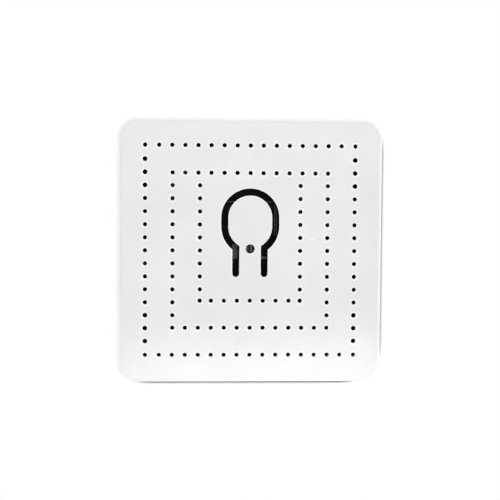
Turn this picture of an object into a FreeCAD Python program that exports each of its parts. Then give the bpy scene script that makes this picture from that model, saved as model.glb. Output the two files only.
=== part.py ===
import FreeCAD, Part
import math
import os
import re
import Sketcher

# A square in-wall switching module, in millimetres.
# It lies on its rear face: z = 0 is the rear face and +Z runs to the button face.
# The wire entries are in the side that faces -Y, and the origin is the centre of the rear face.

# Driving dimensions
sizes = {
    # Case: a flat cover with the button face, and a deep rear shell, round what it holds
    "corner_radius": 3.0,
    "edge_radius": 0.8,
    "rear_edge_chamfer": 0.5,
    "seam_chamfer": 0.15,
    "wall": 1.6,
    "cover_skin": 1.6,
    "floor_skin": 1.6,
    "cover_gap": 0.6,
    "lip_height": 1.2,
    "lip_thickness": 0.6,
    "fit_gap": 0.1,
    "snap_length": 8.0,
    "snap_height": 0.6,
    "snap_depth": 0.3,
    "rib_spacing": 20.0,
    "rib_depth": 1.6,
    "rib_thickness": 1.2,
    "hold_down_depth": 1.5,
    # Vents in the button face: three square rings of holes on one pitch
    "vent_pitch": 1.922,
    "vent_diameter": 0.60,
    "wide_vent_diameter": 0.68,
    "outer_ring_half": 15.51,
    "middle_ring_half": 11.47,
    "inner_ring_half": 7.43,
    # Keyhole slot round the push tongue
    "slot_width": 0.94,
    "bulb_radius": 3.30,
    "bulb_low_y": 3.56,
    "bulb_high_y": 4.90,
    "neck_width": 3.27,
    "hinge_y": -3.43,
    "hinge_web": 0.5,
    "hinge_relief": 0.6,
    "light_hole_diameter": 1.25,
    "light_y": 0.27,
    "post_radius": 0.8,
    "press_gap": 0.03,
    # Key switch behind the tongue
    "switch_y": 4.2,
    "switch_side": 5.2,
    "switch_floor": 0.4,
    "switch_well_radius": 1.9,
    "switch_sheet_thickness": 0.15,
    "plunger_radius": 1.0,
    "plunger_rise": 0.45,
    "flange_radius": 1.4,
    "flange_thickness": 0.3,
    "dome_gap": 0.2,
    "dome_height": 0.4,
    "dome_top_radius": 0.6,
    "dome_sheet": 0.1,
    "switch_tab_length": 0.6,
    "switch_tab_width": 0.7,
    "switch_tab_thickness": 0.2,
    "switch_tab_spacing": 3.7,
    # Status light
    "led_length": 1.7,
    "led_width": 1.25,
    "led_base_height": 0.4,
    "led_lens_length": 1.5,
    "led_lens_height": 0.5,
    "led_pin_gap": 0.3,
    # Main board
    "board_gap": 0.4,
    "board_thickness": 1.2,
    "board_corner_radius": 1.2,
    "pin_reach": 0.8,
    "pin_clearance": 0.12,
    # Terminal block: six cells with rising cages
    "pole_pitch": 5.2,
    "cell_width": 4.4,
    "cell_length": 6.4,
    "block_front_wall": 1.3,
    "block_back_wall": 0.8,
    "block_end_wall": 1.0,
    "block_floor": 1.0,
    "nose_reach": 1.4,
    "nose_chin": 1.25,
    "nose_inset": 0.4,
    "entry_width": 2.8,
    "entry_chamfer": 0.4,
    "driver_hole_radius": 1.9,
    "driver_way_radius": 1.4,
    # Contacts, screws and cages in the terminal block
    "contact_width": 2.2,
    "contact_thickness": 0.8,
    "contact_pin_width": 0.9,
    "screw_head_radius": 1.7,
    "screw_head_height": 1.4,
    "screw_radius": 1.25,
    "screw_slot_length": 2.2,
    "screw_slot_width": 0.5,
    "screw_slot_depth": 0.7,
    "screw_setback": 2.4,
    "thread_clearance": 0.05,
    "cage_gap": 0.2,
    "cage_headroom": 0.65,
    "cage_window_width": 2.6,
    "cage_nut_thickness": 1.4,
    "cage_top_thickness": 0.7,
    "clamp_travel": 2.2,
    "clamp_gap": 0.1,
    # Relay, hanging under the board
    "part_gap": 0.7,
    "relay_length": 20.0,
    "relay_width": 15.0,
    "relay_height": 10.0,
    "relay_lift": 0.8,
    "relay_wall": 0.6,
    "relay_base_thickness": 1.0,
    "relay_inset": 0.05,
    "winding_radius": 3.5,
    "winding_length": 9.3,
    "bobbin_barrel_radius": 2.0,
    "bobbin_flange_thickness": 0.8,
    "bobbin_flange_half": 3.6,
    "core_radius": 1.4,
    "yoke_thickness": 1.0,
    "yoke_width": 6.0,
    "yoke_end_gap": 0.3,
    "pole_thickness": 0.2,
    "pole_radius": 2.4,
    "armature_thickness": 1.0,
    "armature_width": 5.0,
    "armature_length": 7.8,
    "open_angle": 4.1,
    "blade_thickness": 0.3,
    "blade_width": 2.4,
    "blade_start": 1.3,
    "blade_end": 0.3,
    "contact_end_gap": 0.9,
    "contact_radius": 1.1,
    "contact_height": 0.6,
    "contact_gap_closed": 0.05,
    "strip_thickness": 0.5,
    "strip_width": 2.8,
    "strip_overhang": 0.55,
    "relay_pin_width": 0.6,
    "coil_pin_inset": 1.0,
    "coil_pin_spacing": 4.4,
    "common_pin_offset": 3.0,
    # Other parts on the board
    "lead_radius": 0.3,
    "edge_gap": 0.4,
    "input_can_radius": 4.0,
    "input_can_length": 12.0,
    "input_can_lead_spacing": 3.5,
    "seal_radius": 3.4,
    "seal_recess": 0.5,
    "lead_run": 1.1,
    "output_can_radius": 3.15,
    "output_can_length": 7.0,
    "output_can_gap": 1.7,
    "can_base_side": 6.6,
    "can_base_height": 0.9,
    "choke_radius": 3.8,
    "choke_length": 7.6,
    "choke_gap": 1.4,
    "choke_flange": 1.0,
    "choke_winding_radius": 3.3,
    "choke_barrel_radius": 1.8,
    "choke_lead_spacing": 4.6,
    "varistor_radius": 3.75,
    "varistor_thickness": 3.6,
    "varistor_gap": 1.3,
    "varistor_lead_spacing": 5.0,
    "fuse_radius": 1.6,
    "fuse_waist_radius": 1.35,
    "fuse_length": 7.0,
    "fuse_cap_length": 1.4,
    "fuse_gap": 0.8,
    # Button side of the board
    "wifi_thickness": 0.8,
    "wifi_gap": 0.6,
    "wifi_lead_gap": 1.4,
    "wifi_edge": 1.8,
    "wifi_setback": 0.6,
    "shield_side": 9.0,
    "shield_height": 1.4,
    "shield_sheet": 0.2,
    "shield_offset": 1.0,
    "track_width": 0.4,
    "track_thickness": 0.1,
    "track_pitch": 0.9,
    "track_length": 9.6,
    "bridge_edge": 3.75,
    "bridge_front": 3.55,
    "bridge_length": 4.7,
    "bridge_width": 3.9,
    "bridge_height": 1.6,
    "regulator_edge": 3.65,
    "regulator_back": 6.65,
    "regulator_length": 4.9,
    "regulator_width": 3.9,
    "regulator_height": 1.4,
    "chip_chamfer": 0.2,
    "leg_length": 0.9,
    "leg_width": 0.45,
    "leg_thickness": 0.15,
    "small_part_length": 1.6,
    "small_part_width": 0.8,
    "small_part_height": 0.6,
}

# Places worked out from the driving dimensions
places = {
    # Across the case lie the relay, the choke and the fuse resistor, between the ribs of the shell
    "inner_side": "2 * rib_depth + fit_gap + relay_length + part_gap + 2 * choke_radius + fuse_gap"
                  " + 2 * fuse_radius + edge_gap",
    "inner_half": "inner_side / 2",
    "case_half": "inner_half + wall",
    "inner_corner": "corner_radius - wall",
    "seam_z": "floor_skin + relay_lift + relay_height",
    "skin_z": "seam_z + board_thickness + wifi_thickness + shield_height + cover_gap",
    "case_depth": "skin_z + cover_skin",
    "cover_height": "case_depth - seam_z",
    "lip_inner": "inner_half + fit_gap",
    "lip_outer": "lip_inner + lip_thickness",
    "rebate_half": "lip_outer + fit_gap",
    "snap_z": "seam_z - lip_height + fit_gap",
    "rib_face": "inner_half - rib_depth",
    # Tongue
    "outer_bulb_radius": "bulb_radius + slot_width",
    "neck_half": "neck_width / 2",
    "slot_outer_half": "neck_half + slot_width",
    "slot_middle": "neck_half + slot_width / 2",
    "web_z": "case_depth - hinge_web",
    # Board and switch
    "board_half": "inner_half - board_gap",
    "board_top": "seam_z + board_thickness",
    "pin_tip": "board_top + pin_reach",
    "dome_z": "board_top + switch_floor",
    "dome_radius": "switch_well_radius - dome_gap",
    "flange_z": "dome_z + dome_height + press_gap",
    "flange_top": "flange_z + flange_thickness",
    "switch_wall_top": "flange_top + press_gap",
    "switch_top": "switch_wall_top + switch_sheet_thickness",
    "plunger_top": "switch_top + plunger_rise - press_gap",
    "post_z": "plunger_top + press_gap",
    "led_top": "board_top + led_base_height",
    # Terminal block
    "block_half": "2.5 * pole_pitch + cell_width / 2 + block_end_wall",
    "block_front": "-inner_half",
    "cell_front": "block_front + block_front_wall",
    "cell_back": "cell_front + cell_length",
    "block_back": "cell_back + block_back_wall",
    "block_floor_z": "floor_skin + block_floor",
    "nose_front": "block_front - nose_reach",
    "nose_half": "block_half - nose_inset",
    "nose_z": "contact_top - nose_chin",
    "nose_height": "seam_z - nose_z",
    "screw_y": "cell_front + screw_setback",
    "head_z": "block_floor_z + clamp_gap",
    "head_top": "head_z + screw_head_height",
    "cage_z": "head_top + clamp_gap + clamp_travel",
    "window_z": "cage_z + cage_nut_thickness",
    "contact_z": "window_z + clamp_gap / 2",
    "contact_top": "contact_z + contact_thickness",
    "cage_top": "seam_z - cage_headroom",
    "entry_top": "cage_top - cage_top_thickness",
    "cage_side": "cell_width - 2 * cage_gap",
    "contact_pin_y": "cell_back - contact_thickness / 2",
    # Relay
    "relay_left": "-inner_half + rib_depth + fit_gap",
    "relay_front": "block_back + part_gap",
    "relay_right": "relay_left + relay_length",
    "relay_back": "relay_front + relay_width",
    "relay_x": "relay_left + relay_length / 2",
    "relay_y": "relay_front + relay_width / 2",
    "relay_low_z": "seam_z - relay_height",
    "relay_base_z": "seam_z - relay_base_thickness",
    "relay_inner_x": "relay_length / 2 - relay_wall",
    "relay_inner_y": "relay_width / 2 - relay_wall",
    "coil_z": "(relay_low_z + relay_wall + relay_base_z) / 2",
    "coil_y": "yoke_in_y + bobbin_flange_half",
    "coil_right": "relay_x + relay_inner_x - yoke_thickness - fit_gap",
    "flange_right": "coil_right - bobbin_flange_thickness",
    "winding_left": "flange_right - winding_length",
    "bobbin_left": "winding_left - bobbin_flange_thickness",
    "pole_face_x": "bobbin_left - pole_thickness",
    "pivot_x": "pole_face_x - fit_gap",
    "yoke_out_y": "relay_y - relay_inner_y + fit_gap",
    "yoke_in_y": "yoke_out_y + yoke_thickness",
    "pivot_y": "yoke_out_y + yoke_thickness / 2",
    "moving_face_x": "pivot_x - armature_thickness + contact_height",
    "fixed_face_x": "moving_face_x + contact_gap_closed",
    "strip_x": "fixed_face_x + contact_height",
    "contact_y": "relay_y + relay_inner_y - contact_end_gap - strip_width / 2",
    "contact_arm": "contact_y - pivot_y",
    "blade_length": "contact_arm - blade_start + contact_radius + blade_end",
    "coil_pin_x": "flange_right + bobbin_flange_thickness / 2",
    "coil_pin_y": "min(coil_y + bobbin_flange_half - coil_pin_inset,"
                  " light_y - led_length / 2 - led_pin_gap) - relay_pin_width / 2",
    "common_pin_x": "relay_x + common_pin_offset",
    "strip_pin_x": "strip_x + strip_thickness / 2",
    # Other parts
    "input_can_y": "rib_face - edge_gap - input_can_radius",
    "input_can_z": "seam_z - input_can_radius - fit_gap",
    "input_can_left": "relay_left + part_gap",
    "input_can_right": "input_can_left + input_can_length",
    "input_lead_x": "input_can_right + lead_run",
    "choke_x": "relay_right + part_gap + choke_radius",
    "output_can_x": "choke_x",
    "varistor_x": "choke_x",
    "varistor_y": "block_back + varistor_gap + varistor_thickness / 2",
    "choke_y": "varistor_y + varistor_thickness / 2 + choke_gap + choke_radius",
    "output_can_y": "choke_y + choke_radius + output_can_gap + can_base_side / 2",
    "varistor_z": "seam_z - varistor_radius - fit_gap",
    "fuse_z": "seam_z - fuse_radius - fit_gap",
    "fuse_half": "fuse_length / 2",
    "fuse_lead_y": "fuse_half + lead_run",
    "fuse_x": "choke_x + choke_radius + fuse_gap + fuse_radius",
    "fuse_y": "block_back + part_gap + fuse_lead_y",
    "wifi_right": "inner_half - wifi_edge",
    "wifi_left": "switch_side / 2 + switch_tab_length + wifi_gap",
    "wifi_front": "choke_y + wifi_lead_gap",
    "wifi_back": "board_half - wifi_setback",
    "wifi_x": "(wifi_left + wifi_right) / 2",
    "wifi_top": "board_top + wifi_thickness",
    "bridge_x": "-board_half + bridge_edge + bridge_length / 2",
    "bridge_y": "block_back + bridge_front + bridge_width / 2",
    "regulator_x": "-board_half + regulator_edge + regulator_length / 2",
    "regulator_y": "board_half - regulator_back - regulator_width / 2",
}

doc = FreeCAD.newDocument("switch_module")
sheet = doc.addObject("Spreadsheet::Sheet", "Sizes")
for row, (size_name, size_value) in enumerate(sizes.items(), start=1):
    sheet.set(f"A{row}", size_name)
    sheet.set(f"B{row}", str(size_value))
    sheet.setAlias(f"B{row}", size_name)
doc.recompute()

kept = []
overcut = 1
near = 0.001


# Formulas: a name of a size or a place becomes a reference to the sheet

def formula(text):
    def reference(match):
        name = match.group()
        if name in places:
            return f"({formula(places[name])})"
        if name in sizes:
            return f"Sizes.{name}"
        return name
    return re.sub(r"[a-z][a-z0-9_]*", reference, str(text))


def number(text):
    return float(sheet.evalExpression(formula(text)))


def pole_x(pole):
    return f"({pole - 2.5}) * pole_pitch"


def keep(item, node):
    item.Label = node
    kept.append(item)
    return item


# Simple solids

def block(name, x, y, z):
    item = doc.addObject("Part::Box", name)
    for axis, side, (low, high) in zip("xyz", ("Length", "Width", "Height"), (x, y, z)):
        item.setExpression(f"Placement.Base.{axis}", formula(low))
        item.setExpression(side, formula(f"({high}) - ({low})"))
    return item


def centred_block(name, x, y, z, length, width):
    x_span = (f"{x} - ({length}) / 2", f"{x} + ({length}) / 2")
    y_span = (f"{y} - ({width}) / 2", f"{y} + ({width}) / 2")
    return block(name, x_span, y_span, z)


# Small rounds that repeat have few sides, whose corners lie on the given radius
vent_sides = 8
lead_sides = 6
screw_sides = 12
inner_sides = 14
turns = {
    "x": FreeCAD.Rotation(FreeCAD.Vector(0, 1, 0), 90),
    "y": FreeCAD.Rotation(FreeCAD.Vector(1, 0, 0), -90),
    "z": FreeCAD.Rotation(),
}


def rod(name, axis, start, length, radius):
    item = doc.addObject("Part::Cylinder", name)
    item.Placement = FreeCAD.Placement(FreeCAD.Vector(), turns[axis])
    for coordinate, place in zip("xyz", start):
        item.setExpression(f"Placement.Base.{coordinate}", formula(place))
    item.setExpression("Height", formula(length))
    item.setExpression("Radius", formula(radius))
    return item


def faceted_rod(name, axis, start, length, radius, sides):
    item = doc.addObject("Part::Prism", name)
    item.Placement = FreeCAD.Placement(FreeCAD.Vector(), turns[axis])
    item.Polygon = sides
    for coordinate, place in zip("xyz", start):
        item.setExpression(f"Placement.Base.{coordinate}", formula(place))
    item.setExpression("Height", formula(length))
    item.setExpression("Circumradius", formula(radius))
    return item


def inner_rod(name, axis, start, length, radius):
    return faceted_rod(name, axis, start, length, radius, inner_sides)


def drill(name, x, y, z, radius, sides):
    # A hole cutter, which runs on past both faces of what it cuts
    low, high = z
    length = f"{high} - ({low}) + {2 * overcut}"
    return faceted_rod(name, "z", (x, y, f"{low} - {overcut}"), length, radius, sides)


def fuse(name, items):
    item = doc.addObject("Part::MultiFuse", name)
    item.Shapes = items
    item.Refine = True
    return item


def cut(name, base, tools):
    item = doc.addObject("Part::Cut", name)
    item.Base = base
    item.Tool = tools[0] if len(tools) == 1 else fuse(f"{name}_tools", tools)
    return item


def group(name, items):
    item = doc.addObject("Part::Compound", name)
    item.Links = items
    return item


def across_flats(radius, sides):
    # The flats of such a hole, not its corners, keep their clearance round what passes through
    return f"({radius}) / cos(180 / {sides})"


def lead_hole_cutters(name, holes, z):
    return [
        drill(f"{name}_{step}", x, y, z, across_flats(radius, lead_sides), lead_sides)
        for step, (x, y, radius) in enumerate(holes)
    ]


def pin_hole_cutters(name, holes, z):
    low, high = z
    depths = (f"{low} - {overcut}", f"{high} + {overcut}")
    return [
        centred_block(f"{name}_{step}", x, y, depths,
                      f"{length} + 2 * pin_clearance", f"{width} + 2 * pin_clearance")
        for step, (x, y, length, width) in enumerate(holes)
    ]


# Bodies, sketches and their features

def new_body(name):
    return doc.addObject("PartDesign::Body", name)


def new_sketch(body, name, role, offset):
    plane = next(feature for feature in body.Origin.OriginFeatures if feature.Role == role)
    sketch = body.newObject("Sketcher::SketchObject", name)
    sketch.AttachmentSupport = [(plane, "")]
    sketch.MapMode = "FlatFace"
    sketch.setExpression("AttachmentOffset.Base.z", formula(offset))
    return sketch


def set_dimensions(sketch, rules):
    # Each rule is a constraint's kind, what it refers to, and the formula that drives it
    first = sketch.ConstraintCount
    sketch.addConstraint([Sketcher.Constraint(*rule[:-1], number(rule[-1])) for rule in rules])
    for step, rule in enumerate(rules):
        sketch.setExpression(f"Constraints[{first + step}]", formula(rule[-1]))


def draw_rectangle(sketch, x, y):
    x_low, x_high = (number(edge) for edge in x)
    y_low, y_high = (number(edge) for edge in y)
    corners = [
        FreeCAD.Vector(x_low, y_low),
        FreeCAD.Vector(x_high, y_low),
        FreeCAD.Vector(x_high, y_high),
        FreeCAD.Vector(x_low, y_high),
    ]
    lines = [Part.LineSegment(corners[side], corners[(side + 1) % 4]) for side in range(4)]
    first = sketch.GeometryCount
    sketch.addGeometry(lines, False)
    joins = [
        Sketcher.Constraint("Coincident", first + side, 2, first + (side + 1) % 4, 1)
        for side in range(4)
    ]
    joins += [Sketcher.Constraint("Horizontal", first), Sketcher.Constraint("Horizontal", first + 2)]
    joins += [Sketcher.Constraint("Vertical", first + 1), Sketcher.Constraint("Vertical", first + 3)]
    sketch.addConstraint(joins)
    set_dimensions(sketch, [
        ("DistanceX", -1, 1, first, 1, x[0]),
        ("DistanceY", -1, 1, first, 1, y[0]),
        ("DistanceX", -1, 1, first + 1, 2, x[1]),
        ("DistanceY", -1, 1, first + 1, 2, y[1]),
    ])


def draw_round_square(sketch, half, radius):
    # Corner arcs anticlockwise from the +X +Y corner, each followed by the side after it
    reach = number(half)
    bend = number(radius)
    inner = reach - bend
    centres = [(inner, inner), (-inner, inner), (-inner, -inner), (inner, -inner)]
    first = sketch.GeometryCount
    up = FreeCAD.Vector(0, 0, 1)
    right_angle = math.pi / 2
    shapes = []
    for corner, (x, y) in enumerate(centres):
        circle = Part.Circle(FreeCAD.Vector(x, y), up, bend)
        arc = Part.ArcOfCircle(circle, corner * right_angle, (corner + 1) * right_angle)
        shapes.append(arc)
    for corner in range(4):
        shapes.append(Part.LineSegment(shapes[corner].EndPoint, shapes[(corner + 1) % 4].StartPoint))
    sketch.addGeometry(shapes, False)
    joins = []
    for corner in range(4):
        arc = first + corner
        line = first + 4 + corner
        next_arc = first + (corner + 1) % 4
        joins.append(Sketcher.Constraint("Tangent", arc, 2, line, 1))
        joins.append(Sketcher.Constraint("Tangent", line, 2, next_arc, 1))
    for line, direction in enumerate(("Horizontal", "Vertical", "Horizontal", "Vertical"), start=first + 4):
        joins.append(Sketcher.Constraint(direction, line))
    joins += [Sketcher.Constraint("Equal", first, first + corner) for corner in (1, 2, 3)]
    sketch.addConstraint(joins)
    set_dimensions(sketch, [
        ("DistanceY", -1, 1, first + 4, 1, half),
        ("DistanceX", -1, 1, first + 5, 1, f"-({half})"),
        ("DistanceY", -1, 1, first + 6, 1, f"-({half})"),
        ("DistanceX", -1, 1, first + 7, 1, half),
        ("Radius", first, radius),
    ])


def pad(body, name, sketch, length, down=False):
    feature = body.newObject("PartDesign::Pad", name)
    feature.Profile = sketch
    feature.Reversed = down
    feature.setExpression("Length", formula(length))
    return feature


def pocket(body, name, sketch, length, up=False):
    feature = body.newObject("PartDesign::Pocket", name)
    feature.Profile = sketch
    feature.Reversed = up
    feature.setExpression("Length", formula(length))
    return feature


def pick_edges(shape, wanted):
    return [f"Edge{step}" for step, edge in enumerate(shape.Edges, start=1) if wanted(edge)]


def dress_edges(body, kind, name, base, wanted, size):
    doc.recompute()
    feature = body.newObject(f"PartDesign::{kind}", name)
    feature.Base = (base, pick_edges(base.Shape, wanted))
    feature.setExpression("Radius" if kind == "Fillet" else "Size", formula(size))
    return feature


def lies_at(height):
    level = number(height)
    return lambda edge: all(abs(vertex.Z - level) < near for vertex in edge.Vertexes)


def outer_edge_at(height):
    level = lies_at(height)
    reach = number("case_half") - near
    return lambda edge: level(edge) and all(max(abs(v.X), abs(v.Y)) > reach for v in edge.Vertexes)


# Front cover and push tongue

# Each ring of vents: its half side, its holes each way from the middle, and whether it is closed
outer_ring = "outer_ring_half"
rings = ((outer_ring, 7, True), ("middle_ring_half", 5, True), ("inner_ring_half", 3, False))
wide_from = number("4.5 * vent_pitch")


def ring_vents(half, count, full):
    # A square ring of holes: its corners, and 2 * count + 1 holes on each side.
    # The open ring has no row beside the bulb, and its columns run on by two holes instead.
    columns_end = count + 1 if full else count + 3
    positions = [(x, f"-{half}") for x in (half, f"-{half}")]
    if full:
        positions += [(x, half) for x in (half, f"-{half}")]
    for step in range(-count, count + 1):
        positions.append((f"({step}) * vent_pitch", f"-{half}"))
        if full:
            positions.append((f"({step}) * vent_pitch", half))
    for step in range(-count, columns_end):
        positions += [(x, f"({step}) * vent_pitch") for x in (half, f"-{half}")]
    return positions


def rib_span(end):
    # The ribs of both shells face each other across the edge of the board
    return (f"{end} * rib_spacing / 2 - rib_thickness / 2", f"{end} * rib_spacing / 2 + rib_thickness / 2")


def keyhole(name, radius, neck, low_z, high_z):
    # The bulb is a slot between two circle centres, with a neck down to the hinge line
    height = f"{high_z} - ({low_z})"
    pieces = [
        rod(f"{name}_low_round", "z", ("0", "bulb_low_y", low_z), height, radius),
        rod(f"{name}_high_round", "z", ("0", "bulb_high_y", low_z), height, radius),
        block(f"{name}_bulb", (f"-({radius})", radius), ("bulb_low_y", "bulb_high_y"), (low_z, high_z)),
        block(f"{name}_neck", (f"-({neck})", neck), ("hinge_y", "bulb_low_y"), (low_z, high_z)),
    ]
    return fuse(name, pieces)


def make_front_cover():
    body = new_body("cover_body")
    outline = new_sketch(body, "cover_outline", "XY_Plane", "seam_z")
    draw_round_square(outline, "case_half", "corner_radius")
    shell = pad(body, "cover_block", outline, "cover_height")
    rounded = dress_edges(body, "Fillet", "cover_round", shell, lies_at("case_depth"), "edge_radius")
    dress_edges(body, "Chamfer", "cover_seam", rounded, outer_edge_at("seam_z"), "seam_chamfer")

    hollow = new_sketch(body, "cover_hollow", "XY_Plane", "seam_z")
    draw_round_square(hollow, "inner_half", "inner_corner")
    pocket(body, "cover_cavity", hollow, "cover_height - cover_skin", up=True)

    lip = new_sketch(body, "cover_lip_ring", "XY_Plane", "seam_z")
    draw_round_square(lip, "lip_outer", "inner_corner + fit_gap + lip_thickness")
    draw_round_square(lip, "lip_inner", "inner_corner + fit_gap")
    pad(body, "cover_lip", lip, "lip_height", down=True)

    gate = new_sketch(body, "cover_lip_gate", "XY_Plane", "seam_z")
    draw_rectangle(gate, ("-(nose_half + fit_gap)", "nose_half + fit_gap"), ("-case_half", "-inner_half"))
    pocket(body, "cover_lip_gap", gate, "lip_height")

    ridges = new_sketch(body, "cover_snap_outline", "XY_Plane", "snap_z")
    for side in ("", "-"):
        for end in ("", "-"):
            middle = f"{end}rib_spacing / 2"
            span = (f"{middle} - snap_length / 2", f"{middle} + snap_length / 2")
            low_x, high_x = "lip_outer - fit_gap", "lip_outer + snap_depth"
            if side:
                low_x, high_x = f"-({high_x})", f"-({low_x})"
            draw_rectangle(ridges, (low_x, high_x), span)
    pad(body, "cover_snaps", ridges, "snap_height")

    stops = new_sketch(body, "cover_stop_outline", "XY_Plane", "skin_z")
    for side in (-1, 1):
        for end in (-1, 1):
            reach = ("inner_half - hold_down_depth", "inner_half + fit_gap")
            if side < 0:
                reach = tuple(f"-({edge})" for edge in reversed(reach))
            draw_rectangle(stops, reach, rib_span(end))
    pad(body, "cover_stops", stops, "skin_z - board_top - fit_gap / 2", down=True)

    relief = new_sketch(body, "cover_relief_outline", "XY_Plane", "skin_z")
    draw_rectangle(relief, ("-slot_outer_half", "slot_outer_half"), ("hinge_y - hinge_relief", "hinge_y"))
    pocket(body, "cover_relief", relief, "cover_skin - hinge_web", up=True)

    vents = []
    for half, count, full in rings:
        for x, y in ring_vents(half, count, full):
            wide = x in (outer_ring, f"-{outer_ring}") and wide_from < abs(number(y)) < number(outer_ring)
            size = "wide_vent_diameter" if wide else "vent_diameter"
            name = f"vent_{len(vents)}"
            vents.append(drill(name, x, y, ("skin_z", "case_depth"), f"{size} / 2", vent_sides))

    low_z = f"skin_z - {overcut}"
    high_z = f"case_depth + {overcut}"
    opening = keyhole("slot_punch", "outer_bulb_radius", "slot_outer_half", low_z, high_z)
    ends = [
        rod(f"slot_end_{side}", "z", (x, "hinge_y", low_z), f"cover_skin + {2 * overcut}", "slot_width / 2")
        for side, x in (("left", "-slot_middle"), ("right", "slot_middle"))
    ]
    openings = group("cover_openings", [fuse("slot", [opening] + ends)] + vents)
    keep(cut("cover_with_openings", body, [openings]), "front_cover")


def make_button_tongue():
    blade = keyhole("tongue_plate", "bulb_radius", "neck_half", "skin_z", "case_depth")
    post = inner_rod("tongue_post", "z", ("0", "switch_y", "post_z"),
                     "skin_z - post_z + fit_gap", "post_radius")
    solid = fuse("tongue_solid", [blade, post])
    light = rod("light_hole", "z", ("0", "light_y", f"skin_z - {overcut}"), f"cover_skin + {2 * overcut}",
                "light_hole_diameter / 2")
    relief = block("tongue_relief", ("-slot_outer_half", "slot_outer_half"),
                   (f"hinge_y - {overcut}", "hinge_y + hinge_relief"), (f"skin_z - {overcut}", "web_z"))
    keep(cut("tongue_with_light_hole", solid, [light, relief]), "button_tongue")


# Rear shell

def driver_ways(name, z, radius):
    # One hole for a screwdriver under each screw
    return [drill(f"{name}_{pole}", pole_x(pole), "screw_y", z, radius, screw_sides) for pole in range(6)]


def make_rear_shell():
    body = new_body("shell_body")
    outline = new_sketch(body, "shell_outline", "XY_Plane", "0")
    draw_round_square(outline, "case_half", "corner_radius")
    shell = pad(body, "shell_block", outline, "seam_z")
    rounded = dress_edges(body, "Chamfer", "shell_bevel", shell, lies_at("0"), "rear_edge_chamfer")
    dress_edges(body, "Chamfer", "shell_seam", rounded, outer_edge_at("seam_z"), "seam_chamfer")

    hollow = new_sketch(body, "shell_hollow", "XY_Plane", "seam_z")
    draw_round_square(hollow, "inner_half", "inner_corner")
    pocket(body, "shell_cavity", hollow, "seam_z - floor_skin")

    ribs = new_sketch(body, "shell_rib_outline", "XY_Plane", "floor_skin")
    for end in (-1, 1):
        span = rib_span(end)
        draw_rectangle(ribs, ("rib_face", "inner_half + fit_gap"), span)
        draw_rectangle(ribs, ("-(inner_half + fit_gap)", "-rib_face"), span)
        draw_rectangle(ribs, span, ("rib_face", "inner_half + fit_gap"))
    pad(body, "shell_ribs", ribs, "seam_z - floor_skin")

    rebate = new_sketch(body, "shell_rebate_ring", "XY_Plane", "seam_z")
    draw_round_square(rebate, "rebate_half", "inner_corner + fit_gap * 2 + lip_thickness")
    draw_round_square(rebate, "inner_half", "inner_corner")
    pocket(body, "shell_rebate", rebate, "lip_height + fit_gap")

    grooves = new_sketch(body, "shell_snap_outline", "XY_Plane", "snap_z + snap_height + fit_gap")
    for end in (-1, 1):
        middle = f"{end} * rib_spacing / 2"
        span = (f"{middle} - snap_length / 2 - fit_gap", f"{middle} + snap_length / 2 + fit_gap")
        depth = "rebate_half + snap_depth"
        draw_rectangle(grooves, ("lip_outer", depth), span)
        draw_rectangle(grooves, (f"-({depth})", "-(lip_outer)"), span)
    pocket(body, "shell_snap_grooves", grooves, "snap_height + fit_gap * 2")

    gate = new_sketch(body, "shell_gate", "XY_Plane", "seam_z")
    draw_rectangle(gate, ("-(nose_half + fit_gap)", "nose_half + fit_gap"),
                   (f"-(case_half + {overcut})", "-inner_half"))
    pocket(body, "shell_terminal_gap", gate, "nose_height + fit_gap")

    ways = driver_ways("shell_way", ("0", "floor_skin"), "driver_hole_radius")
    keep(cut("shell_with_holes", body, ways), "rear_shell")


# Terminal block, with its contacts, screws and cages

def make_terminal_block():
    body = new_body("block_body")
    outline = new_sketch(body, "block_outline", "XY_Plane", "floor_skin")
    draw_rectangle(outline, ("-block_half", "block_half"), ("block_front", "block_back"))
    pad(body, "block_solid", outline, "seam_z - floor_skin")

    nose = new_sketch(body, "nose_outline", "XY_Plane", "nose_z")
    draw_rectangle(nose, ("-nose_half", "nose_half"), ("nose_front", "block_front + fit_gap"))
    pad(body, "block_nose", nose, "nose_height")

    cells = new_sketch(body, "cell_outlines", "XY_Plane", "seam_z")
    for pole in range(6):
        x = pole_x(pole)
        span = (f"{x} - cell_width / 2", f"{x} + cell_width / 2")
        draw_rectangle(cells, span, ("cell_front", "cell_back"))
    pocket(body, "block_cells", cells, "seam_z - block_floor_z")

    entries = new_sketch(body, "entry_outlines", "XZ_Plane", "-(nose_front)")
    for pole in range(6):
        x = pole_x(pole)
        span = (f"{x} - entry_width / 2", f"{x} + entry_width / 2")
        draw_rectangle(entries, span, ("contact_top", "entry_top"))
    openings = pocket(body, "wire_entries", entries, "cell_front - nose_front + fit_gap")

    front = number("nose_front")
    low = number("nose_z") + near
    high = number("seam_z") - near

    def entry_edge(edge):
        return all(abs(v.Y - front) < near and low < v.Z < high for v in edge.Vertexes)

    dress_edges(body, "Chamfer", "entry_lead_in", openings, entry_edge, "entry_chamfer")
    ways = driver_ways("block_way", ("floor_skin", "block_floor_z"), "driver_way_radius")
    keep(cut("block_with_holes", body, ways), "terminal_block")


def make_terminal_contacts():
    contacts = []
    for pole in range(6):
        x = pole_x(pole)
        bar = centred_block(f"contact_bar_{pole}", x, "(cell_front + cell_back) / 2",
                            ("contact_z", "contact_top"), "contact_width", "cell_length")
        riser = centred_block(f"contact_riser_{pole}", x, "contact_pin_y",
                              ("contact_z", "seam_z"), "contact_width", "contact_thickness")
        pin = centred_block(f"contact_pin_{pole}", x, "contact_pin_y",
                            ("seam_z - fit_gap", "pin_tip"), "contact_pin_width", "contact_thickness")
        contacts.append(fuse(f"contact_{pole}", [bar, riser, pin]))
    keep(group("contact_set", contacts), "terminal_contacts")


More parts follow.
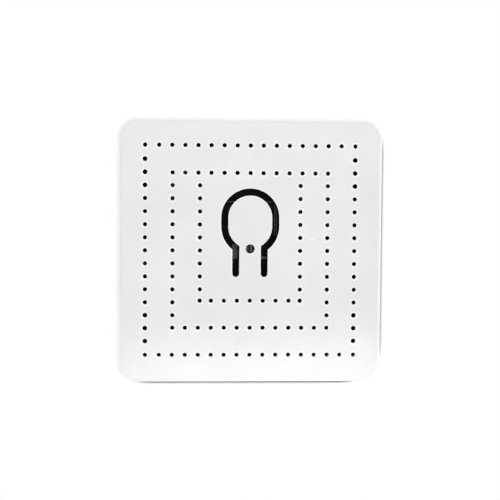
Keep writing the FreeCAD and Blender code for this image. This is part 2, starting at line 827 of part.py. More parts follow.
def make_terminal_screw(pole):
    x = pole_x(pole)
    head = faceted_rod(f"screw_head_{pole}", "z", (x, "screw_y", "head_z"), "screw_head_height",
                       "screw_head_radius", screw_sides)
    shank = faceted_rod(f"screw_shank_{pole}", "z", (x, "screw_y", "head_top - fit_gap"),
                        "window_z - head_top + fit_gap", "screw_radius", screw_sides)
    depth = (f"head_z - {overcut}", "head_z + screw_slot_depth")
    slots = [
        centred_block(f"screw_slot_{pole}", x, "screw_y", depth, "screw_slot_length", "screw_slot_width"),
        centred_block(f"screw_cross_{pole}", x, "screw_y", depth, "screw_slot_width", "screw_slot_length"),
    ]
    screw = cut(f"screw_{pole}", fuse(f"screw_blank_{pole}", [head, shank]), slots)
    keep(screw, f"terminal_screw_{pole + 1}")


def make_terminal_cage(pole):
    x = pole_x(pole)
    frame = centred_block(f"cage_block_{pole}", x, "screw_y", ("cage_z", "cage_top"),
                          "cage_side", "cage_side")
    window = centred_block(f"cage_window_{pole}", x, "screw_y", ("window_z", "entry_top"),
                           "cage_window_width", f"cage_side + {overcut}")
    thread = drill(f"cage_thread_{pole}", x, "screw_y", ("cage_z", "window_z"),
                   across_flats("screw_radius + thread_clearance", screw_sides), screw_sides)
    keep(cut(f"cage_{pole}", frame, [window, thread]), f"terminal_cage_{pole + 1}")


# Relay

def make_relay_housing():
    case = block("relay_block", ("relay_left", "relay_right"), ("relay_front", "relay_back"),
                 ("relay_low_z", "seam_z"))
    hollow = centred_block("relay_hollow", "relay_x", "relay_y",
                           ("relay_low_z + relay_wall", f"seam_z + {overcut}"),
                           "2 * relay_inner_x", "2 * relay_inner_y")
    keep(cut("relay_shell", case, [hollow]), "relay_case")
    base = centred_block("relay_base_block", "relay_x", "relay_y", ("relay_base_z", "seam_z"),
                         "2 * (relay_inner_x - relay_inset)", "2 * (relay_inner_y - relay_inset)")
    holes = pin_hole_cutters("relay_base_hole", relay_pin_holes, ("relay_base_z", "seam_z"))
    keep(cut("relay_base_plate", base, holes), "relay_base")


def make_relay_coil():
    length = "coil_right - bobbin_left"
    start = ("bobbin_left", "coil_y", "coil_z")
    flange_spans = (("bobbin_left", "winding_left"), ("flange_right", "coil_right"))
    flanges = [
        block(f"bobbin_flange_{step}", span,
              ("coil_y - bobbin_flange_half", "coil_y + bobbin_flange_half"),
              ("coil_z - bobbin_flange_half", "coil_z + bobbin_flange_half"))
        for step, span in enumerate(flange_spans)
    ]
    barrel = inner_rod("bobbin_barrel", "x", start, length, "bobbin_barrel_radius")
    bore = inner_rod("bobbin_bore", "x", (f"bobbin_left - {overcut}", "coil_y", "coil_z"),
                     f"{length} + {2 * overcut}", "core_radius + thread_clearance")
    keep(cut("bobbin", fuse("bobbin_solid", flanges + [barrel]), [bore]), "relay_bobbin")

    wire = inner_rod("winding_block", "x", ("winding_left", "coil_y", "coil_z"),
                     "winding_length", "winding_radius")
    inside = inner_rod("winding_bore", "x", (f"winding_left - {overcut}", "coil_y", "coil_z"),
                       f"winding_length + {2 * overcut}", "bobbin_barrel_radius + thread_clearance")
    keep(cut("winding", wire, [inside]), "relay_winding")

    start = ("pole_face_x", "coil_y", "coil_z")
    pole = inner_rod("core_pole", "x", start, "pole_thickness", "pole_radius")
    core = inner_rod("core_rod", "x", start, "coil_right - pole_face_x", "core_radius")
    keep(fuse("core", [pole, core]), "relay_core")

    yoke_z = ("coil_z - yoke_width / 2", "coil_z + yoke_width / 2")
    back = block("yoke_back", ("coil_right", "coil_right + yoke_thickness"),
                 ("yoke_out_y", "coil_y + core_radius * 2"), yoke_z)
    leg = block("yoke_leg", ("pivot_x + yoke_end_gap", "coil_right + yoke_thickness"),
                ("yoke_out_y", "yoke_in_y"), yoke_z)
    tail = centred_block("yoke_pin", "common_pin_x", "pivot_y", ("coil_z", "pin_tip"),
                         "relay_pin_width", "relay_pin_width")
    keep(fuse("yoke", [back, leg, tail]), "relay_yoke")


def make_relay_armature():
    # The moving pieces are drawn closed, about their own pivot, and then turned open for rest
    def swing(item, node):
        item.setExpression("Placement.Base.x", formula("pivot_x"))
        item.setExpression("Placement.Base.y", formula("pivot_y"))
        item.setExpression("Placement.Base.z", formula("coil_z"))
        item.setExpression("Placement.Rotation.Angle", formula("open_angle"))
        keep(item, node)

    plate = block("armature_plate", ("-armature_thickness", "0"),
                  ("-yoke_thickness / 2", "armature_length"), ("-armature_width / 2", "armature_width / 2"))
    swing(group("armature", [plate]), "relay_armature")
    strip = block("blade_strip", ("-(armature_thickness + blade_thickness)", "-armature_thickness"),
                  ("blade_start", "blade_start + blade_length"), ("-blade_width / 2", "blade_width / 2"))
    swing(group("blade", [strip]), "relay_blade")
    rivet = inner_rod("moving_rivet", "x", ("-armature_thickness", "contact_arm", "0"),
                      "contact_height", "contact_radius")
    swing(group("moving_contact", [rivet]), "relay_moving_contact")


def make_relay_contacts():
    rivet = inner_rod("fixed_rivet", "x", ("fixed_face_x", "contact_y", "coil_z"),
                      "contact_height + fit_gap / 2", "contact_radius")
    strip = block("fixed_strip", ("strip_x", "strip_x + strip_thickness"),
                  ("contact_y - strip_width / 2", "contact_y + strip_width / 2"),
                  ("coil_z - contact_radius - strip_overhang", "relay_base_z"))
    tail = centred_block("fixed_pin", "strip_pin_x", "contact_y", ("relay_base_z - fit_gap", "pin_tip"),
                         "strip_thickness", "relay_pin_width")
    keep(fuse("fixed_contact", [rivet, strip, tail]), "relay_fixed_contact")
    pins = [
        centred_block(f"coil_pin_{step}", "coil_pin_x", y, ("coil_z + bobbin_flange_half", "pin_tip"),
                      "relay_pin_width", "relay_pin_width")
        for step, y in enumerate(coil_pin_rows)
    ]
    keep(group("coil_pins", pins), "relay_pins")


# Board

def make_main_board():
    body = new_body("board_body")
    outline = new_sketch(body, "board_outline", "XY_Plane", "seam_z")
    draw_round_square(outline, "board_half", "board_corner_radius")
    pad(body, "board_plate", outline, "board_thickness")
    board_span = ("seam_z", "board_top")
    holes = lead_hole_cutters("lead_hole", lead_holes, board_span)
    holes += pin_hole_cutters("pin_hole", contact_pin_holes + relay_pin_holes, board_span)
    keep(cut("drilled_board", body, holes), "main_board")


# Key switch behind the tongue

def frustum(name, low_z):
    # The key's snap disc is a shallow four-sided pyramid with a flat top
    item = doc.addObject("Part::Wedge", name)
    item.Placement = FreeCAD.Placement(FreeCAD.Vector(), FreeCAD.Rotation(FreeCAD.Vector(1, 0, 0), 90))
    item.setExpression("Placement.Base.y", formula("switch_y"))
    item.setExpression("Placement.Base.z", formula(low_z))
    for side, radius in (("", "dome_radius"), ("2", "dome_top_radius")):
        for axis in "XZ":
            item.setExpression(f"{axis}{side}min", formula(f"-{radius} * sqrt(2) / 2"))
            item.setExpression(f"{axis}{side}max", formula(f"{radius} * sqrt(2) / 2"))
    item.Ymin = 0
    item.setExpression("Ymax", formula("dome_height"))
    return item


def make_switch():
    housing = centred_block("switch_block", "0", "switch_y", ("board_top", "switch_wall_top"),
                            "switch_side", "switch_side")
    well = inner_rod("switch_well", "z", ("0", "switch_y", "dome_z"),
                     "switch_wall_top", "switch_well_radius")
    keep(cut("switch_housing", housing, [well]), "switch_base")

    plate = centred_block("switch_plate", "0", "switch_y", ("switch_wall_top", "switch_top"),
                          "switch_side", "switch_side")
    mouth = inner_rod("switch_mouth", "z", ("0", "switch_y", "board_top"),
                      "switch_top", "plunger_radius + fit_gap")
    keep(cut("switch_lid", plate, [mouth]), "switch_sheet")

    start = ("0", "switch_y", "flange_z")
    stem = inner_rod("plunger_stem", "z", start, "plunger_top - flange_z", "plunger_radius")
    flange = inner_rod("plunger_flange", "z", start, "flange_thickness", "flange_radius")
    keep(fuse("plunger", [stem, flange]), "switch_plunger")

    keep(cut("dome", frustum("dome_outside", "dome_z"), [frustum("dome_inside", "dome_z - dome_sheet")]),
         "switch_dome")

    tabs = []
    for side in (-1, 1):
        edge = f"{side} * (switch_side + switch_tab_length) / 2"
        for row in (-1, 1):
            y = f"(switch_y + {row} * switch_tab_spacing / 2)"
            tabs.append(centred_block(f"switch_tab_{len(tabs)}", edge, y,
                                      ("board_top", "board_top + switch_tab_thickness"),
                                      "switch_tab_length", "switch_tab_width"))
    keep(group("switch_tab_set", tabs), "switch_tabs")


def make_status_led():
    base = centred_block("led_block", "0", "light_y", ("board_top", "led_top"), "led_width", "led_length")
    keep(base, "status_led_base")
    lens = centred_block("led_cap", "0", "light_y", ("led_top", "led_top + led_lens_height"),
                         "led_width", "led_lens_length")
    keep(lens, "status_led_lens")


# Radio module

def make_wifi():
    plate = block("wifi_plate", ("wifi_left", "wifi_right"), ("wifi_front", "wifi_back"),
                  ("board_top", "wifi_top"))
    keep(plate, "wifi_board")

    can_y = "(wifi_front + shield_offset + shield_side / 2)"
    can = centred_block("shield_block", "wifi_x", can_y, ("wifi_top", "wifi_top + shield_height"),
                        "shield_side", "shield_side")
    hollow = centred_block("shield_hollow", "wifi_x", can_y,
                           (f"wifi_top - {overcut}", "wifi_top + shield_height - shield_sheet"),
                           "shield_side - 2 * shield_sheet", "shield_side - 2 * shield_sheet")
    keep(cut("shield", can, [hollow]), "wifi_shield")

    # The aerial is a printed track that winds to and fro
    runs = []
    layer = ("wifi_top", "wifi_top + track_thickness")
    low = "(wifi_back - wifi_edge / 2 - 3 * track_pitch)"
    for step in range(4):
        y = f"({low} + {step} * track_pitch)"
        runs.append(centred_block(f"antenna_run_{step}", "wifi_x", y, layer, "track_length", "track_width"))
    for step in range(3):
        side = 1 if step % 2 else -1
        x = f"(wifi_x + {side} * (track_length - track_width) / 2)"
        y = f"({low} + {step + 0.5} * track_pitch)"
        runs.append(centred_block(f"antenna_link_{step}", x, y, layer, "track_width", "track_pitch"))
    keep(fuse("antenna", runs), "wifi_antenna")


# Power parts, hanging under the board

def make_input_capacitor():
    can = inner_rod("input_can", "x", ("input_can_left", "input_can_y", "input_can_z"),
                    "input_can_length", "input_can_radius")
    seat = ("input_can_right - seal_recess", "input_can_y", "input_can_z")
    recess = inner_rod("input_can_recess", "x", seat, f"seal_recess + {overcut}", "seal_radius")
    keep(cut("input_can_drawn", can, [recess]), "input_capacitor")
    seal = inner_rod("input_seal", "x", seat, "seal_recess - fit_gap", "seal_radius")
    keep(seal, "input_capacitor_seal")


def make_output_capacitor():
    foot = centred_block("output_foot", "output_can_x", "output_can_y",
                         ("seam_z - can_base_height", "seam_z"), "can_base_side", "can_base_side")
    keep(foot, "output_capacitor_base")
    low = "seam_z - can_base_height - output_can_length"
    can = inner_rod("output_can", "z", ("output_can_x", "output_can_y", low),
                    "output_can_length", "output_can_radius")
    keep(can, "output_capacitor")


def make_choke():
    low = "(seam_z - fit_gap - choke_length)"
    foot = ("choke_x", "choke_y", low)
    flanges = [
        inner_rod(f"choke_flange_{step}", "z", ("choke_x", "choke_y", start), "choke_flange", "choke_radius")
        for step, start in enumerate((low, "seam_z - fit_gap - choke_flange"))
    ]
    barrel = inner_rod("choke_barrel", "z", foot, "choke_length", "choke_barrel_radius")
    keep(fuse("choke_drum", flanges + [barrel]), "choke_core")
    wire = inner_rod("choke_wire", "z", ("choke_x", "choke_y", f"{low} + choke_flange"),
                     "choke_length - 2 * choke_flange", "choke_winding_radius")
    bore = inner_rod("choke_wire_bore", "z", foot, "choke_length", "choke_barrel_radius")
    keep(cut("choke_coil", wire, [bore]), "choke_winding")


def make_varistor():
    start = ("varistor_x", "varistor_y - varistor_thickness / 2", "varistor_z")
    disc = inner_rod("varistor_disc", "y", start, "varistor_thickness", "varistor_radius")
    keep(disc, "varistor")


def make_fuse_resistor():
    low = "(fuse_y - fuse_half)"
    caps = [
        inner_rod(f"fuse_cap_{step}", "y", ("fuse_x", start, "fuse_z"), "fuse_cap_length", "fuse_radius")
        for step, start in enumerate((low, "fuse_y + fuse_half - fuse_cap_length"))
    ]
    waist = inner_rod("fuse_waist", "y", ("fuse_x", low, "fuse_z"), "fuse_length", "fuse_waist_radius")
    keep(fuse("fuse_rod", caps + [waist]), "fuse_resistor")


def bent_lead(name, axis, start, run, corner):
    # A wire that leaves its part along an axis and then turns up to the board
    x, y, z = corner
    return fuse(name, [
        faceted_rod(f"{name}_run", axis, start, run, "lead_radius", lead_sides),
        faceted_rod(f"{name}_rise", "z", (x, y, f"{z} - lead_radius"), f"pin_tip - {z} + lead_radius",
                    "lead_radius", lead_sides),
    ])


def make_component_leads():
    leads = []
    for step, y in enumerate(input_lead_rows):
        start = ("input_can_right - fit_gap", y, "input_can_z")
        leads.append(bent_lead(f"input_lead_{step}", "x", start, "lead_run + fit_gap",
                               ("input_lead_x", y, "input_can_z")))
    for step, x in enumerate(choke_lead_columns):
        leads.append(faceted_rod(f"choke_lead_{step}", "z", (x, "choke_y", "seam_z - fit_gap"),
                                 "pin_tip - seam_z + fit_gap", "lead_radius", lead_sides))
    for step, x in enumerate(varistor_lead_columns):
        half = "(varistor_lead_spacing / 2 - lead_radius)"
        start = f"(varistor_z + sqrt(varistor_radius^2 - {half}^2))"
        leads.append(faceted_rod(f"varistor_lead_{step}", "z", (x, "varistor_y", start),
                                 f"pin_tip - {start}", "lead_radius", lead_sides))
    low_end = "(fuse_y - fuse_lead_y)"
    high_end = "(fuse_y + fuse_half)"
    leads.append(bent_lead("fuse_lead_0", "y", ("fuse_x", low_end, "fuse_z"), "lead_run",
                           ("fuse_x", low_end, "fuse_z")))
    leads.append(bent_lead("fuse_lead_1", "y", ("fuse_x", high_end, "fuse_z"), "lead_run",
                           ("fuse_x", "(fuse_y + fuse_lead_y)", "fuse_z")))
    keep(group("lead_set", leads), "component_leads")


# Surface parts on the button side

def make_chip(name, node):
    body = new_body(name)
    outline = new_sketch(body, f"{name}_outline", "XY_Plane", "board_top")
    draw_rectangle(outline, (f"{name}_x - {name}_length / 2", f"{name}_x + {name}_length / 2"),
                   (f"{name}_y - {name}_width / 2", f"{name}_y + {name}_width / 2"))
    slab = pad(body, f"{name}_slab", outline, f"{name}_height")
    top_edges = lies_at(f"board_top + {name}_height")
    dress_edges(body, "Chamfer", f"{name}_bevel", slab, top_edges, "chip_chamfer")
    keep(body, node)


def make_chip_leads():
    legs = []
    z = ("board_top", "board_top + leg_thickness")
    for side in (-1, 1):
        y = f"(regulator_y + {side} * (regulator_width + leg_length) / 2)"
        for step in (-1.5, -0.5, 0.5, 1.5):
            x = f"(regulator_x + {step} * regulator_length / 4)"
            legs.append(centred_block(f"chip_leg_{len(legs)}", x, y, z, "leg_width", "leg_length"))
        y = f"(bridge_y + {side} * (bridge_width + leg_length) / 2)"
        for step in (-1, 1):
            x = f"(bridge_x + {step} * bridge_length / 4)"
            legs.append(centred_block(f"chip_leg_{len(legs)}", x, y, z, "2 * leg_width", "leg_length"))
    keep(group("leg_set", legs), "chip_leads")


def make_chip_parts():
    parts = []
    across = ("small_part_length", "small_part_width")
    for x, y, turned in small_parts:
        size = reversed(across) if turned else across
        parts.append(centred_block(f"small_part_{len(parts)}", x, y,
                                   ("board_top", "board_top + small_part_height"), *size))
    keep(group("small_part_set", parts), "chip_parts")


# Holes that the board and the relay base share with the pins and leads that pass through them

coil_pin_rows = ("coil_pin_y", "coil_pin_y - coil_pin_spacing")
input_lead_rows = ("input_can_y - input_can_lead_spacing / 2", "input_can_y + input_can_lead_spacing / 2")
choke_lead_columns = ("choke_x - choke_lead_spacing / 2", "choke_x + choke_lead_spacing / 2")
varistor_lead_columns = ("varistor_x - varistor_lead_spacing / 2", "varistor_x + varistor_lead_spacing / 2")

contact_pin_holes = [
    (pole_x(pole), "contact_pin_y", "contact_pin_width", "contact_thickness") for pole in range(6)
]
relay_pin_holes = [("coil_pin_x", y, "relay_pin_width", "relay_pin_width") for y in coil_pin_rows]
relay_pin_holes.append(("common_pin_x", "pivot_y", "relay_pin_width", "relay_pin_width"))
relay_pin_holes.append(("strip_pin_x", "contact_y", "strip_thickness", "relay_pin_width"))
lead_hole = "lead_radius + pin_clearance"
lead_holes = [("input_lead_x", y, lead_hole) for y in input_lead_rows]
lead_holes += [(x, "choke_y", lead_hole) for x in choke_lead_columns]
lead_holes += [(x, "varistor_y", lead_hole) for x in varistor_lead_columns]
lead_holes += [("fuse_x", f"fuse_y {sign} fuse_lead_y", lead_hole) for sign in ("-", "+")]

# Small ceramic parts, as x, y and whether they lie along Y
small_parts = (
    ("-2.1", "-0.3", True),
    ("3.4", "block_back + 1.3", False),
    ("-pole_pitch", "block_back + 0.3", False),
    ("-5.4", "switch_y + 0.8", True),
    ("-6.6", "board_half - 5.2", False),
    ("choke_x - 3", "choke_y - 4.6", True),
    ("choke_x - 1.4", "choke_y - 1.2", False),
    ("choke_x + 3", "cell_back - 2.3", False),
)

make_front_cover()
make_button_tongue()
make_rear_shell()
make_terminal_block()
make_terminal_contacts()
for pole in range(6):
    make_terminal_screw(pole)
    make_terminal_cage(pole)
make_relay_housing()
make_relay_coil()
make_relay_armature()
make_relay_contacts()
make_main_board()
make_switch()
make_status_led()
make_wifi()
make_input_capacitor()
make_output_capacitor()
make_choke()
make_varistor()
make_fuse_resistor()
make_component_leads()
make_chip("bridge", "bridge_rectifier")
make_chip("regulator", "regulator_chip")
make_chip_leads()
make_chip_parts()
doc.recompute()

# Every object has to have come out whole before anything is written
for item in doc.Objects:
    if "Invalid" in item.State or "Error" in item.State:
        raise RuntimeError(f"{item.Label} failed: {item.State}")
for item in kept:
    if item.Shape.isNull() or not item.Shape.isValid():
        raise RuntimeError(f"{item.Label} has no valid shape")

os.makedirs("parts", exist_ok=True)
for item in kept:
    item.Shape.exportStep(f"parts/{item.Label}.step")
    print(item.Label, len(item.Shape.Solids), "solids,", round(item.Shape.Volume, 2), "cubic millimetres")
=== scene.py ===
import math

import bmesh
import bpy
from mathutils import Matrix, Vector


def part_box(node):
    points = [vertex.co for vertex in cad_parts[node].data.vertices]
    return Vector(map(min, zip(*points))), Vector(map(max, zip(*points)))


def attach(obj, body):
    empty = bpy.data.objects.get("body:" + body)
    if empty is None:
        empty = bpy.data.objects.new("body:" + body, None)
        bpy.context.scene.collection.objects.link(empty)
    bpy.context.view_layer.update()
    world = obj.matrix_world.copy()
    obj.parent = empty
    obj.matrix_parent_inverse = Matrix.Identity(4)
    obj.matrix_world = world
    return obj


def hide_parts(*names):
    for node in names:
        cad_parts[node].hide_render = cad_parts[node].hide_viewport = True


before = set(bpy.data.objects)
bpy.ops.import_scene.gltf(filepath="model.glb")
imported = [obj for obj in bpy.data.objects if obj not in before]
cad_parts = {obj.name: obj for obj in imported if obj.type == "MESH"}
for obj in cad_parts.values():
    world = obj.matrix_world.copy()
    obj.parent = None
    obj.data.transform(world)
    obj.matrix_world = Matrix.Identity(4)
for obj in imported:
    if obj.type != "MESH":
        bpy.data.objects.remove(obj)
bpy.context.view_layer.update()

print("frame loaded:", len(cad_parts), "parts")

# Shapes are made in millimetres and scaled to metres when they are finished
millimetre = 0.001
metre = 1000


# Colours and nodes

def colour(code):
    # sRGB hex to the linear values that the shaders take
    channels = [int(code[place:place + 2], 16) / 255 for place in (1, 3, 5)]
    return [c / 12.92 if c <= 0.04045 else ((c + 0.055) / 1.055) ** 2.4 for c in channels] + [1.0]


def perMillimetre(size):
    # Noise scale for cells of this many millimetres, on Object coordinates in metres
    return 1 / (size * millimetre)


def addNode(tree, kind, settings=None, inputs=None):
    # Inputs that share a name are numbered: 6 and 7 are the two colours of a Mix node
    node = tree.nodes.new(kind)
    for name, value in (settings or {}).items():
        setattr(node, name, value)
    for name, value in (inputs or {}).items():
        if isinstance(value, bpy.types.NodeSocket):
            tree.links.new(value, node.inputs[name])
        else:
            node.inputs[name].default_value = value
    return node


# Every finish has a patchy colour, an uneven gloss and a grain, with sizes and depths in millimetres
# The real grains are a few hundredths wide, and are drawn coarser so that they show
baseLook = {
    "metallic": 0.0,
    "ior": 1.5,
    "cloudSize": 6.0,
    "cloudDetail": 4.0,
    "cloudRoughness": 0.6,
    "cloudRange": (0.35, 0.65),
    "glossSize": 3.0,
    "glossDetail": 5.0,
    "glossRange": (0.3, 0.7),
    "grainSize": 0.3,
    "grainDetail": 2.0,
    "grainDepth": 0.004,
    "stretch": (1.0, 1.0, 1.0),
}


def makeFinish(name, **look):
    look = {**baseLook, **look}
    material = bpy.data.materials.new(name)
    material.use_nodes = True
    tree = material.node_tree
    shader = tree.nodes["Principled BSDF"]
    shader.inputs["Metallic"].default_value = look["metallic"]
    shader.inputs["IOR"].default_value = look["ior"]
    place = addNode(tree, "ShaderNodeTexCoord").outputs["Object"]
    along = addNode(tree, "ShaderNodeMapping", {}, {"Vector": place, "Scale": look["stretch"]}).outputs[0]
    cloud = addNode(tree, "ShaderNodeTexNoise", {}, {
        "Vector": place, "Scale": perMillimetre(look["cloudSize"]),
        "Detail": look["cloudDetail"], "Roughness": look["cloudRoughness"]})
    low, high = look["cloudRange"]
    patch = addNode(tree, "ShaderNodeMapRange", {}, {
        "Value": cloud.outputs[0], "From Min": low, "From Max": high})
    tint = addNode(tree, "ShaderNodeMix", {"data_type": "RGBA"}, {
        0: patch.outputs[0], 6: colour(look["shade"]), 7: colour(look["tint"])})
    tree.links.new(tint.outputs[2], shader.inputs["Base Color"])
    wipe = addNode(tree, "ShaderNodeTexNoise", {}, {
        "Vector": along, "Scale": perMillimetre(look["glossSize"]), "Detail": look["glossDetail"]})
    low, high = look["glossRange"]
    glossiest, dullest = look["roughness"]
    gloss = addNode(tree, "ShaderNodeMapRange", {}, {
        "Value": wipe.outputs[0], "From Min": low, "From Max": high,
        "To Min": glossiest, "To Max": dullest})
    tree.links.new(gloss.outputs[0], shader.inputs["Roughness"])
    grain = addNode(tree, "ShaderNodeTexNoise", {}, {
        "Vector": along, "Scale": perMillimetre(look["grainSize"]), "Detail": look["grainDetail"]})
    bump = addNode(tree, "ShaderNodeBump", {}, {
        "Strength": 1.0, "Distance": look["grainDepth"] * millimetre, "Height": grain.outputs[0]})
    tree.links.new(bump.outputs[0], shader.inputs["Normal"])
    return material


def addRelief(material, height, depth):
    # A second relief under the grain, such as tracks under the mask of a board
    tree = material.node_tree
    grain = next(node for node in tree.nodes if node.type == "BUMP")
    relief = addNode(tree, "ShaderNodeBump", {}, {
        "Strength": 1.0, "Distance": depth * millimetre, "Height": height})
    tree.links.new(relief.outputs[0], grain.inputs["Normal"])


def repaint(material, mask, code):
    # The masked part of the surface takes another colour
    tree = material.node_tree
    shader = tree.nodes["Principled BSDF"]
    before = shader.inputs["Base Color"].links[0].from_socket
    painted = addNode(tree, "ShaderNodeMix", {"data_type": "RGBA"}, {0: mask, 6: before, 7: colour(code)})
    tree.links.new(painted.outputs[2], shader.inputs["Base Color"])


# ABS and polycarbonate blend, moulded in a spark-eroded tool: satin and nearly white, with a fine grain
casePlastic = makeFinish(
    "sparkErodedAbsBlend", shade="#ECEBEB", tint="#F0EFEF", roughness=(0.42, 0.52),
    cloudSize=14.0, glossSize=5.0, grainSize=0.35, grainDepth=0.0035)
# The same blend where the tool's edge shaped the openings: a little polished, with a sheen from its lower
# roughness, and its colour painted lighter as a highlight
rimPlasticWithPaintedHighlight = makeFinish(
    "polishedAbsRimPaintedHighlight", shade="#F8F8F8", tint="#FBFBFB", roughness=(0.28, 0.36),
    cloudSize=2.0, glossSize=1.0, grainSize=0.3, grainDepth=0.001)
# Glass-filled polyamide of the terminal block: greyer and more matt than the case
blockPlastic = makeFinish(
    "glassFilledPolyamide", shade="#DADAD8", tint="#E4E4E2", roughness=(0.48, 0.62),
    cloudSize=2.0, glossSize=1.5, grainSize=0.2, grainDepth=0.008)
# Moulded polyester of the relay's case, glossy and deep blue
relayPlastic = makeFinish(
    "glossyMouldedPolyester", shade="#1A3A6E", tint="#20447C", roughness=(0.22, 0.34),
    cloudSize=5.0, grainSize=0.25, grainDepth=0.003)
# The same plastic in black, of bobbins, bases and the key, with a softer gloss
innerPlastic = makeFinish(
    "blackMouldedPolyester", shade="#17171A", tint="#222226", roughness=(0.35, 0.5),
    cloudSize=2.0, glossSize=1.0, grainSize=0.15, grainDepth=0.003)
# Zinc-plated steel of the clamp screws: cool and bright, with fine turning marks
zincSteel = makeFinish(
    "zincPlatedSteel", shade="#A9ABAF", tint="#C4C6C9", metallic=1.0, roughness=(0.24, 0.42),
    cloudSize=0.8, glossSize=0.5, grainSize=0.08, grainDepth=0.003)
# Nickel-plated steel of the cages, blanked and folded: warm grey, streaked along its length
nickelSteel = makeFinish(
    "nickelPlatedSteel", shade="#A39E93", tint="#BDB8AC", metallic=1.0, roughness=(0.2, 0.38),
    cloudSize=1.2, glossSize=0.4, grainSize=0.1, grainDepth=0.003, stretch=(1.0, 1.0, 0.15))
# Stamped brass of bars, blades and the antenna: yellow, with streaks along the strip
stampedBrass = makeFinish(
    "stampedBrass", shade="#B5924F", tint="#D0AF6A", metallic=1.0, roughness=(0.25, 0.42),
    cloudSize=1.0, glossSize=0.6, grainSize=0.1, grainDepth=0.002, stretch=(1.0, 0.2, 1.0))
# Tinned wire and solder: a soft sheen with frosted patches
tinnedMetal = makeFinish(
    "tinnedWireAndSolder", shade="#B9B9B5", tint="#D6D6D2", metallic=1.0, roughness=(0.26, 0.46),
    cloudSize=0.7, glossSize=0.5, grainSize=0.12, grainDepth=0.004)
# Tinplate of the radio's shield and the key's cover, in a near-black painted shade, so that it shows dark
# through the vents and the slot
tinplatePaintedShade = makeFinish(
    "tinplatePaintedShade", shade="#1C1C1E", tint="#28282B", metallic=0.6, roughness=(0.45, 0.6),
    cloudSize=1.5, grainSize=0.2, grainDepth=0.003)
# Tinned leads of the chips and the relay, in a dark grey painted shade, so that they don't glint through
# the vents and the slot
leadTinPaintedShade = makeFinish(
    "leadTinWithPaintedShade", shade="#3C3C3F", tint="#515154", metallic=0.8, roughness=(0.5, 0.65),
    cloudSize=0.5, grainSize=0.1, grainDepth=0.003)
# Soft iron with a thin nickel wash: grey, with a broken sheen
softIron = makeFinish(
    "nickelWashedIron", shade="#8E8C88", tint="#A5A39E", metallic=1.0, roughness=(0.3, 0.5),
    cloudSize=1.0, glossSize=0.8, grainSize=0.1, grainDepth=0.004)
# Copper wire under enamel: red-brown and glossy
enamelledWire = makeFinish(
    "enamelledCopperWire", shade="#9A4A1E", tint="#BC6A30", metallic=0.75, roughness=(0.22, 0.36),
    cloudSize=0.9, glossSize=0.7, grainSize=0.1, grainDepth=0.002)
# Sintered ferrite: dull, dark and slightly sparkling
ferrite = makeFinish(
    "sinteredFerrite", shade="#2B2B2D", tint="#3A3A3C", roughness=(0.6, 0.8),
    cloudSize=0.6, grainSize=0.08, grainDepth=0.01)
# Drawn aluminium can: pale and brushed round its axis
drawnAluminium = makeFinish(
    "drawnAluminium", shade="#B9BABD", tint="#D2D3D6", metallic=1.0, roughness=(0.22, 0.36),
    cloudSize=1.5, glossSize=0.5, grainSize=0.12, grainDepth=0.003, stretch=(0.1, 0.1, 1.0))
# PVC sleeve shrunk over a can: nearly black, with a soft gloss
shrinkSleeve = makeFinish(
    "shrunkPvcSleeve", shade="#14161D", tint="#1D2029", roughness=(0.24, 0.36),
    cloudSize=2.0, grainSize=0.5, grainDepth=0.01)
# Butyl rubber of a can's plug: black without a shine
rubberSeal = makeFinish(
    "butylRubber", shade="#1B1B1B", tint="#262626", roughness=(0.7, 0.85),
    cloudSize=0.8, grainSize=0.1, grainDepth=0.006)
# Epoxy dip coat, thick and uneven like dried varnish
epoxyCoat = makeFinish(
    "dippedEpoxy", shade="#153E78", tint="#1C4D90", roughness=(0.28, 0.42),
    cloudSize=1.6, glossSize=1.0, grainSize=0.6, grainDepth=0.03)
# Cement coat of a fusible resistor: chalky green
cementCoat = makeFinish(
    "cementCoat", shade="#7F9C70", tint="#93AE83", roughness=(0.5, 0.7),
    cloudSize=0.8, grainSize=0.2, grainDepth=0.015)
# Moulded epoxy of chips: matt charcoal
chipEpoxy = makeFinish(
    "mouldedEpoxy", shade="#1A1A1B", tint="#242425", roughness=(0.5, 0.66),
    cloudSize=0.5, grainSize=0.08, grainDepth=0.006)
# Fired ceramic of the small coils and resistors: plain grey
ceramicPart = makeFinish(
    "firedCeramic", shade="#464443", tint="#565452", roughness=(0.5, 0.65),
    cloudSize=0.4, grainSize=0.08, grainDepth=0.004)
# Smoked resin over the light: almost black while it is off
ledResin = makeFinish(
    "smokedResin", shade="#060607", tint="#0B0B0D", roughness=(0.4, 0.55), ior=1.35,
    cloudSize=0.4, grainSize=0.1, grainDepth=0.001)
# Pale electrodes under that resin, greyed by it
veiledElectrode = makeFinish(
    "veiledElectrode", shade="#86868A", tint="#A4A4A8", roughness=(0.5, 0.7),
    cloudSize=0.3, grainSize=0.1, grainDepth=0.004)
# Epoxy ink printed thinly on the black board: grey lines, worn in places
thinInk = makeFinish(
    "thinPrintedInk", shade="#4E4B50", tint="#6A676C", roughness=(0.5, 0.7),
    cloudSize=0.4, grainSize=0.1, grainDepth=0.004)
# Glass-epoxy board under black solder mask: matt, with tracks that stand out faintly
maskedBoard = makeFinish(
    "maskedGlassEpoxy", shade="#08060B", tint="#0D0B11", roughness=(0.68, 0.8), ior=1.3,
    cloudSize=3.0, glossSize=2.0, grainSize=0.2, grainDepth=0.002)
